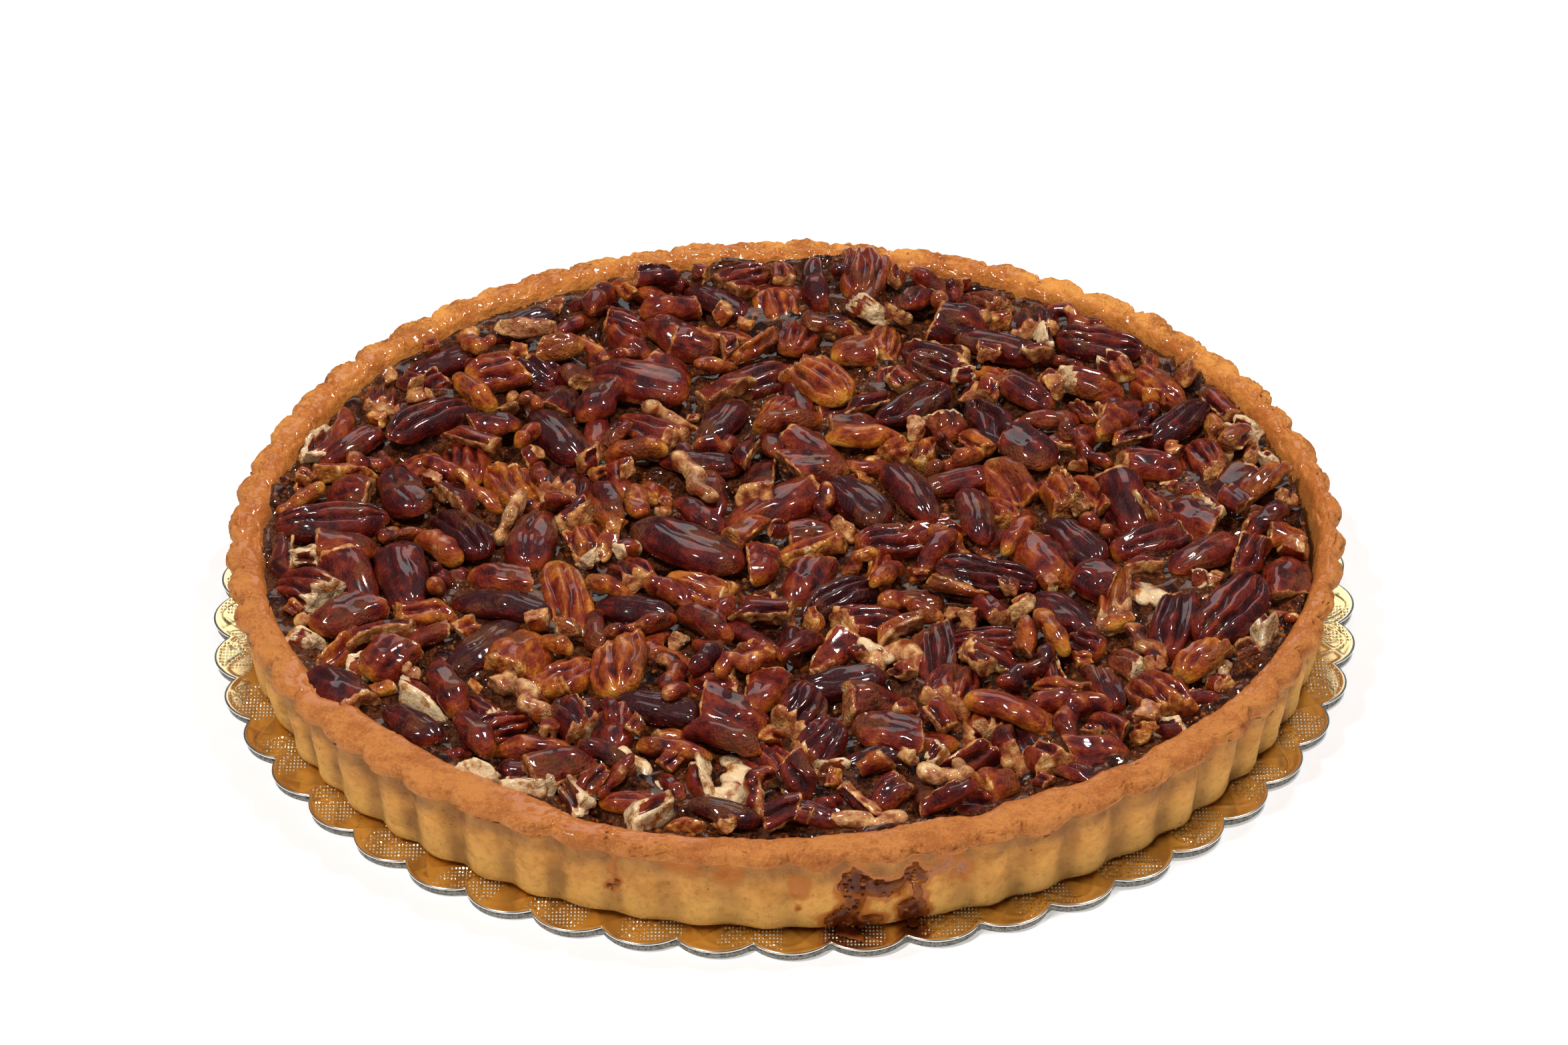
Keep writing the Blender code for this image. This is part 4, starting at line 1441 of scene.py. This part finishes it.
@dataclass
class Pecans:
    """The halves, broken pieces and chips that fill the tart."""

    seed: int = 17
    level: float = 19.8 * MM
    highest: float = 31.6 * MM
    reach: float = 130.2 * MM
    tries: int = 16
    half_forms: str = "RPPRPPRPPPPPRRPPPPPPPFFPRRRPPPRPPPPPPP"
    crust: Crust = field(default_factory=Crust)

    def __post_init__(self) -> None:
        """Take the bowl's place from the frame."""
        low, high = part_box("crust")
        self.centre = (low + high) / 2
        self.base = low.z
        self.rng = random.Random(self.seed)
        self.ground = Ground(self.centre, self.reach, self.level + low.z, self.crust)

    @staticmethod
    def ridged(seed: int, **sizes: object) -> Kernel:
        """A kernel with deep grooves between finger-like ridges."""
        spots = ((-0.55, 0.05, 0.58), (-0.3, 0.34), (-0.6, -0.15, 0.4))[seed % 3]
        return Kernel(NutForm.RIDGED, seed, grooves=spots, groove_depth=2.6 * MM, groove_width=0.11, **sizes)

    @staticmethod
    def folded(seed: int, **sizes: object) -> Kernel:
        """A kernel whose inner side will be up, with a winding gully between two lobes."""
        return Kernel(NutForm.FOLDED, seed, belly=0.15, back=0.13, channel=0.15, lumps=0.9 * MM, **sizes)

    @staticmethod
    def finger(seed: int) -> Kernel:
        """One ridge alone, like a bent finger."""
        return Kernel(
            NutForm.FINGER, seed, length=20 * MM, width=0.34, back=0.16, belly=0.15, grooves=(0.2,), bow=0.12,
            groove_depth=0.4 * MM, channel=0.02, lumps=1.0 * MM, segments=28, rings=22,
        )

    def whole_templates(self) -> dict[str, list[Template]]:
        """The uncut halves of each form, by the form's first letter."""
        plump = [
            Kernel(seed=seed, groove_depth=depth * MM, grooves=spots, lumps=0.8 * MM)
            for seed, depth, spots in ((1, 0.7, (-0.3, 0.4)), (2, 1.0, (0.15,)), (3, 0.5, (-0.4, 0.3)))
        ]
        return {
            "P": [Template(kernel) for kernel in plump],
            "R": [Template(self.ridged(seed)) for seed in (4, 5, 6)],
            "F": [Template(self.folded(seed)) for seed in (7, 8)],
        }

    def broken_templates(self) -> list[Template]:
        """Halves snapped across, about 14 to 22 mm long."""
        made = []
        for number in range(12):
            rng = random.Random(100 + number)
            maker = (Kernel, self.ridged, self.folded)[number % 3]
            kernel = Kernel(seed=20 + number, lumps=0.9 * MM) if maker is Kernel else maker(20 + number)
            cuts = [Cut((rng.uniform(-0.05, 0.15), 0, 0), (1, rng.uniform(-0.6, 0.6), rng.uniform(-0.5, 0.5)))]
            if number % 4 == 3:
                cuts.append(Cut((0, rng.uniform(0.03, 0.1), 0), (rng.uniform(-0.2, 0.2), 1, rng.uniform(-0.3, 0.3))))
            made.append(Template(kernel, cuts, 800))
        return made

    def sliver_templates(self) -> list[Template]:
        """Flat splinters split off lengthwise."""
        made = []
        for number in range(5):
            rng = random.Random(200 + number)
            edge = rng.uniform(0.02, 0.07)
            cuts = (
                Cut((0, edge, 0), (rng.uniform(-0.15, 0.15), -1, 0.1)),
                Cut((rng.uniform(0.0, 0.25), 0, 0), (1, rng.uniform(-0.5, 0.5), 0.2)),
            )
            made.append(Template(self.ridged(40 + number), cuts, 520))
        return made

    def chip_templates(self) -> list[Template]:
        """Chopped bits about 6 to 10 mm across."""
        made = []
        for number in range(8):
            rng = random.Random(300 + number)
            start = rng.uniform(-0.4, 0.05)
            cuts = (
                Cut((start, 0, 0), (-1, rng.uniform(-0.6, 0.6), rng.uniform(-0.4, 0.4))),
                Cut((start + rng.uniform(0.2, 0.3), 0, 0), (1, rng.uniform(-0.6, 0.6), rng.uniform(-0.4, 0.4))),
                Cut((0, rng.uniform(-0.03, 0.05), 0), (rng.uniform(-0.3, 0.3), rng.choice((-1, 1)), 0.2)),
            )
            made.append(Template(self.ridged(60 + number), cuts, 380))
        return made

    def look(self, letter: str = "") -> tuple[float, float, float]:
        """A piece's own tone, how syrupy its breaks are, and how much skin is gone.

        Args:
            letter: The letter of a named look; none gives it a look by chance.

        Returns:
            The three shares.
        """
        rng = self.rng
        if not letter:
            letter = rng.choices("dmahc", (20, 46, 22, 8, 4))[0]
        _, tone, wet, peel = next(look.value for look in Look if look.value[0] == letter)
        return tone + rng.uniform(-0.09, 0.09), wet, peel + rng.uniform(-0.08, 0.08)

    def lay(self, heaps: dict[str, Heap], kinds: dict[str, list[Template]]) -> None:
        """Lay the larger pieces in their own places.

        Args:
            heaps: The heap for each form's letter.
            kinds: The templates for each form's letter.
        """
        rng = self.rng
        for number, entry in enumerate(LAID_PIECES.split(",")):
            x, y, bearing, length, letters = entry.split()
            form, look = letters
            shape = kinds[form][number % len(kinds[form])]
            stretch = float(length) * MM * 1.08 / shape.size[0]
            girth = min(max(stretch, 0.62), 0.95) * rng.uniform(0.9, 1.08)
            scale = np.array((stretch, girth, girth * rng.uniform(0.85, 1.1)))
            yaw = math.radians(float(bearing)) + (math.pi if rng.random() < 0.5 else 0.0)
            turn = turned(yaw, rng.gauss(0, 0.35), rng.gauss(0, 0.12))
            spot = np.array((self.centre.x + float(x) * MM, self.centre.y + float(y) * MM, 0))
            rows = (shape.cloud * scale) @ turn.T + spot
            lift = self.ground.rest(rows, 1.3 * MM, 0.8)
            lift = min(lift, self.highest - 0.3 * MM - rows[:, 2].max(), self.base + self.level + 4 * MM - rows[:, 2].min())
            tone, wet, peel = self.look(look)
            heaps[form].add(Piece(shape, turn, spot + (0, 0, lift), scale, tone, wet, peel, number * 37))
            self.ground.cover(rows + (0, 0, lift))

    def drop(self, heap: Heap, templates: Sequence[Template], low: float, high: float, sink: float, lean: float) -> None:
        """Lay one more piece in the freest of a few places.

        Args:
            heap: The heap it belongs to.
            templates: What it may be a copy of.
            low: Its smallest scale.
            high: Its largest scale.
            sink: How deep it settles among the others, in metres.
            lean: How far it may lean, in radians.
        """
        rng = self.rng
        shape = rng.choice(templates)
        size = rng.uniform(low, high)
        scale = size * np.array([rng.uniform(0.88, 1.15) for _ in range(3)])
        free = self.ground.free()
        best, best_cost = None, math.inf
        for _ in range(self.tries):
            turn = turned(rng.uniform(0, math.tau), rng.gauss(0, lean), rng.gauss(0, lean * 0.4))
            spot = np.append(free[rng.randrange(len(free))], 0)
            rows = (shape.cloud * scale) @ turn.T + spot
            if not self.ground.inside(rows, 0.5 * MM):
                continue
            lift = self.ground.rest(rows, sink)
            cost = lift + rows[:, 2].max() + 10 * MM * self.ground.overlap(rows)
            if cost < best_cost and lift + rows[:, 2].max() < self.highest:
                best, best_cost = (turn, spot + (0, 0, lift), rows + (0, 0, lift)), cost
        if best is None:
            return
        tone, wet, peel = self.look()
        heap.add(Piece(shape, best[0], best[1], scale, tone, wet, peel, rng.randrange(10000)))
        self.ground.cover(best[2])

    def halves(self, forms: dict[str, list[Template]], finish: bpy.types.Material) -> None:
        """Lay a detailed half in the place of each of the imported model's halves."""
        names = sorted(name for name in frame["nodes"] if name.startswith("pecan_"))
        rng = random.Random(5)
        for number, name in enumerate(names):
            choices = forms[self.half_forms[number]]
            shape = choices[number % len(choices)]
            cloud = np.array([vertex.co for vertex in bpy.data.objects[name].data.vertices])
            turn, middle, size = self.pose(cloud)
            heap = Heap(f"pecan_half_{number + 1:02d}")
            tone, peel = rng.triangular(0.05, 0.42, 0.16), rng.uniform(-0.3, -0.02)
            piece = Piece(shape, turn, middle, size / shape.size, tone, 0.8, peel, number * 31)
            heap.add(piece)
            self.ground.cover(piece.rows())
            finished(heap.joined(), "pecan", finish, name)

    @staticmethod
    def pose(cloud: np.ndarray) -> tuple[np.ndarray, np.ndarray, np.ndarray]:
        """How a packed half lies.

        Args:
            cloud: Its vertices.

        Returns:
            Its rotation, its middle, and its length, width and thickness.
        """
        axes = np.linalg.svd(cloud - cloud.mean(0), full_matrices=False)[2]
        long, up = axes[0], axes[2]
        up = up if up[2] > 0 else -up
        turn = np.stack([long, np.cross(up, long), up], 1)
        local = cloud @ turn
        size = local.max(0) - local.min(0)
        return turn, ((local.max(0) + local.min(0)) / 2) @ turn.T, size

    def build(self, shared: SharedGroups) -> None:
        """Model the templates and fill the tart."""
        finish = PecanSkin().material(shared)
        wholes = self.whole_templates()
        self.halves(wholes, finish)
        broken = self.broken_templates()
        kinds = {
            "P": broken[0::3] + wholes["P"][:1], "R": broken[1::3], "F": broken[2::3], "B": self.chip_templates(),
            "N": [Template(self.finger(seed), (), 520) for seed in range(80, 86)],
            "K": [Template(Knot(seed, lobes=5 + seed % 3), (), 560) for seed in range(90, 98)],
            "S": self.sliver_templates(),
        }
        kinds["C"] = kinds["B"]
        snapped, fingers, knots = Heap("pecan_broken"), Heap("pecan_fingers"), Heap("pecan_knots")
        slivers, chips = Heap("pecan_slivers"), Heap("pecan_chips")
        heaps = {"P": snapped, "R": snapped, "F": snapped, "B": chips, "N": fingers, "K": knots, "S": slivers, "C": chips}
        self.lay(heaps, kinds)
        for form, count, low, high, sink, lean in (
            ("R", 52, 0.68, 0.98, 1.6 * MM, 0.45),
            ("P", 46, 0.66, 0.95, 1.6 * MM, 0.45),
            ("N", 56, 0.75, 1.1, 1.0 * MM, 0.5),
            ("K", 60, 0.75, 1.2, 1.0 * MM, 0.9),
            ("S", 40, 0.6, 0.9, 0.8 * MM, 0.6),
            ("C", 190, 0.5, 1.0, 0.6 * MM, 0.9),
        ):
            for _ in range(count):
                self.drop(heaps[form], kinds[form], low, high, sink, lean)
        for heap in (snapped, fingers, knots, slivers, chips):
            finished(heap.joined(), "pecan", finish)
            LOG.info("%s: %d pieces", heap.name, len(heap.pieces))
        taken = self.ground.taken[self.ground.bowl].mean()
        LOG.info("nuts cover %.0f%% of the tart", 100 * taken)


# ================================================================ caramel


@dataclass
class Caramel:
    """The set filling that shows between the nuts."""

    level: float = 19.4 * MM
    floor: float = 4.4 * MM
    reach: float = 131.6 * MM
    cell: float = 1.1 * MM
    climb: float = 1.3 * MM
    flood: float = 3.0 * MM

    def build(self, shared: SharedGroups, ground: Ground) -> bpy.types.Object:
        """Pour the caramel round the nuts.

        Args:
            shared: The shared node groups.
            ground: The heights of the nuts.

        Returns:
            The filling.
        """
        low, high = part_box("crust")
        centre, base = (low + high) / 2, low.z
        count = int(2 * self.reach / self.cell)
        item = added(
            bpy.ops.mesh.primitive_grid_add, "filling_caramel", x_subdivisions=count, y_subdivisions=count,
            size=2 * self.reach, location=(centre.x, centre.y, base + self.level),
        )
        with editing(item):
            select_where(item, lambda spot: math.hypot(spot.x - centre.x, spot.y - centre.y) > self.reach)
            bpy.ops.mesh.delete(type="VERT")
        self.ripple(item, ground)
        with editing(item):
            bpy.ops.mesh.select_non_manifold()
            bpy.ops.mesh.extrude_region_move()
            shape = bmesh.from_edit_mesh(item.data)
            for vertex in shape.verts:
                if vertex.select:
                    vertex.co.z = base + self.floor
            bmesh.update_edit_mesh(item.data)
            bpy.ops.mesh.edge_face_add()
            bpy.ops.mesh.select_all(action="SELECT")
            bpy.ops.mesh.normals_make_consistent(inside=False)
        finished(item, "filling", SetCaramel().material(shared), "filling")
        return item

    def ripple(self, item: bpy.types.Object, ground: Ground) -> None:
        """Raise the caramel where it clings to the nuts or floods them, and pit it elsewhere."""
        rows = places(item)
        near = ground.taken.astype(float)
        for _ in range(2):
            near = (near + np.roll(near, 1, 0) + np.roll(near, -1, 0) + np.roll(near, 1, 1) + np.roll(near, -1, 1)) / 5
        close = near.ravel()[ground.cells(rows)]
        flat = rows * (1, 1, 0)
        flood = smooth_step(0.15, 0.6, rumble(flat, 26 * MM, 31))
        rows[:, 2] += self.climb * close + self.flood * flood + 0.5 * MM * rumble(flat, 5 * MM, 32)
        rows[:, 2] += 2.2 * MM * smooth_step(7 * MM, -1 * MM, ground.room(rows))
        pits = smooth_step(0.25, 0.55, rumble(flat, 5 * MM, 33)) * (1 - 0.6 * close)
        rows[:, 2] -= 2.4 * MM * pits
        rows[:, 2] += 0.5 * MM * rumble(flat, 2.4 * MM, 34)
        set_places(item, rows)


@dataclass
class Bubbles:
    """Small bubbles that set in the caramel and in the spilt syrup, joined into one mesh."""

    smallest: float = 0.35 * MM
    largest: float = 0.95 * MM
    in_tart: int = 1500
    in_spill: int = 80
    seed: int = 71

    def build(self, shared: SharedGroups, ground: Ground, caramel: bpy.types.Object, spill: bpy.types.Object) -> None:
        """Scatter the bubbles.

        Args:
            shared: The shared node groups.
            ground: The heights of the nuts.
            caramel: The filling's surface.
            spill: The syrup on the wall.
        """
        ball = added(bpy.ops.mesh.primitive_ico_sphere_add, "bubble_ball", subdivisions=2, radius=1.0)
        set_places(ball, places(ball) * (1, 1, 0.85))
        shape, faces = places(ball), np.array([tuple(face.vertices) for face in ball.data.polygons])
        bpy.data.objects.remove(ball)
        rng = np.random.default_rng(self.seed)
        spots = places(caramel)
        open_top = ~ground.taken.ravel()[ground.cells(spots)] & (ground.room(spots) > 0.5 * MM)
        open_top &= rumble(spots * (1, 1, 0), 9 * MM, 72) > -0.25
        spots = spots[open_top & (spots[:, 2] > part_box("crust")[0].z + 15 * MM)]
        spots = spots[rng.choice(len(spots), self.in_tart)]
        spots[:, :2] += rng.uniform(-0.6 * MM, 0.6 * MM, (self.in_tart, 2))
        wet = places(spill)
        deep = np.empty(len(wet), np.float32)
        spill.data.attributes["depth"].data.foreach_get("value", deep)
        wet = wet[deep > 0.6]
        wet = wet[rng.choice(len(wet), self.in_spill)]
        spots = np.concatenate([spots, wet])
        sizes = self.smallest + (self.largest - self.smallest) * rng.random(len(spots)) ** 2.2
        rows = shape[None] * sizes[:, None, None] + spots[:, None]
        corners = faces[None] + (np.arange(len(spots)) * len(shape))[:, None, None]
        mesh = bpy.data.meshes.new("syrup_bubbles")
        mesh.from_pydata(rows.reshape(-1, 3), [], corners.reshape(-1, 3))
        item = bpy.data.objects.new("syrup_bubbles", mesh)
        bpy.context.collection.objects.link(item)
        set_values(item, "depth", np.repeat(rng.uniform(0.45, 1.1, len(spots)), len(shape)))
        finished(item, "filling", SyrupGlaze("syrup_bubble").material(shared))


# ================================================================ studio


@dataclass(frozen=True)
class Studio:
    """Pale floor, soft light and the camera."""

    distance: float = 1.7825
    elevation: float = math.radians(34.39)
    tilt_up: float = math.radians(0.72)
    roll: float = math.radians(0.48)
    lens: float = 162.5
    room: float = 0.085

    def camera(self) -> None:
        """Stand the camera in front of the pie, looking down on it."""
        low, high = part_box("crust")
        aim = Vector(((low.x + high.x) / 2, (low.y + high.y) / 2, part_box("cake_card")[1].z))
        back = Vector((0, -math.cos(self.elevation), math.sin(self.elevation)))
        made = bpy.data.cameras.new("camera")
        made.lens, made.sensor_width = self.lens, 36.0
        made.clip_start, made.clip_end = 0.05, 30.0
        item = bpy.data.objects.new("camera", made)
        turn = (-back).to_track_quat("-Z", "Y").to_matrix().to_4x4()
        turn = turn @ Matrix.Rotation(self.tilt_up, 4, "X") @ Matrix.Rotation(-self.roll, 4, "Z")
        item.matrix_world = Matrix.Translation(aim + back * self.distance) @ turn
        bpy.context.collection.objects.link(item)
        bpy.context.scene.camera = item

    def lamp(self, name: str, place: Vector, size: float, power: float, mirrored: bool = True) -> None:
        """A square soft light that faces the pie, and shows in its gloss if it is mirrored."""
        made = bpy.data.lights.new(name, "AREA")
        made.size, made.energy = size, power
        item = bpy.data.objects.new(name, made)
        item.visible_glossy = mirrored
        item.location = place
        item.rotation_mode = "QUATERNION"
        item.rotation_quaternion = (-place).to_track_quat("-Z", "Y")
        bpy.context.collection.objects.link(item)

    def floor(self) -> None:
        """A wide white table top."""
        item = added(bpy.ops.mesh.primitive_plane_add, "table_top", size=12.0, location=(0, 0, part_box("cake_card")[0].z))
        made = bpy.data.materials.new("table_white")
        made.use_nodes = True
        shader = made.node_tree.nodes["Principled BSDF"]
        shader.inputs["Base Color"].default_value = (0.93, 0.93, 0.93, 1)
        shader.inputs["Roughness"].default_value = 0.7
        shader.inputs["Emission Color"].default_value = (1, 1, 1, 1)
        shader.inputs["Emission Strength"].default_value = 0.26
        item.data.materials.append(made)

    def build(self) -> None:
        """Set up the whole studio."""
        self.world()
        bpy.context.scene.view_settings.view_transform = "Standard"
        self.floor()
        self.camera()
        self.lamp("back_panel", Vector((0.0, 1.25, 1.0)), 0.68, 2.7)
        self.lamp("key_left", Vector((-0.5, -0.3, 1.3)), 0.14, 11.0)
        self.lamp("key_right", Vector((0.5, 0.25, 1.3)), 0.14, 10.0)
        self.lamp("front_fill", Vector((0.1, -1.6, 0.9)), 1.0, 7.5, mirrored=False)

    def world(self) -> None:
        """A white sweep behind, and a dimmer room around it that the glaze reflects."""
        world = bpy.data.worlds.new("studio")
        world.use_nodes = True
        tree = world.node_tree
        seen = tree.nodes.new("ShaderNodeLightPath")
        strength = tree.nodes.new("ShaderNodeMapRange")
        strength.inputs["To Min"].default_value = self.room
        tree.links.new(seen.outputs["Is Camera Ray"], strength.inputs["Value"])
        tree.nodes["Background"].inputs["Color"].default_value = (1, 1, 1, 1)
        tree.links.new(strength.outputs["Result"], tree.nodes["Background"].inputs["Strength"])
        bpy.context.scene.world = world


def main() -> None:
    """Build the dressed pie piece by piece."""
    logging.basicConfig(level=logging.INFO, format="%(message)s")
    shared = SharedGroups()
    Studio().build()
    CakeCard().build(shared)
    crust = Crust()
    spill = crust.build(shared)
    pecans = Pecans(crust=crust)
    pecans.build(shared)
    caramel = Caramel().build(shared, pecans.ground)
    Bubbles().build(shared, pecans.ground, caramel, spill)


if __name__ == "__main__":
    main()
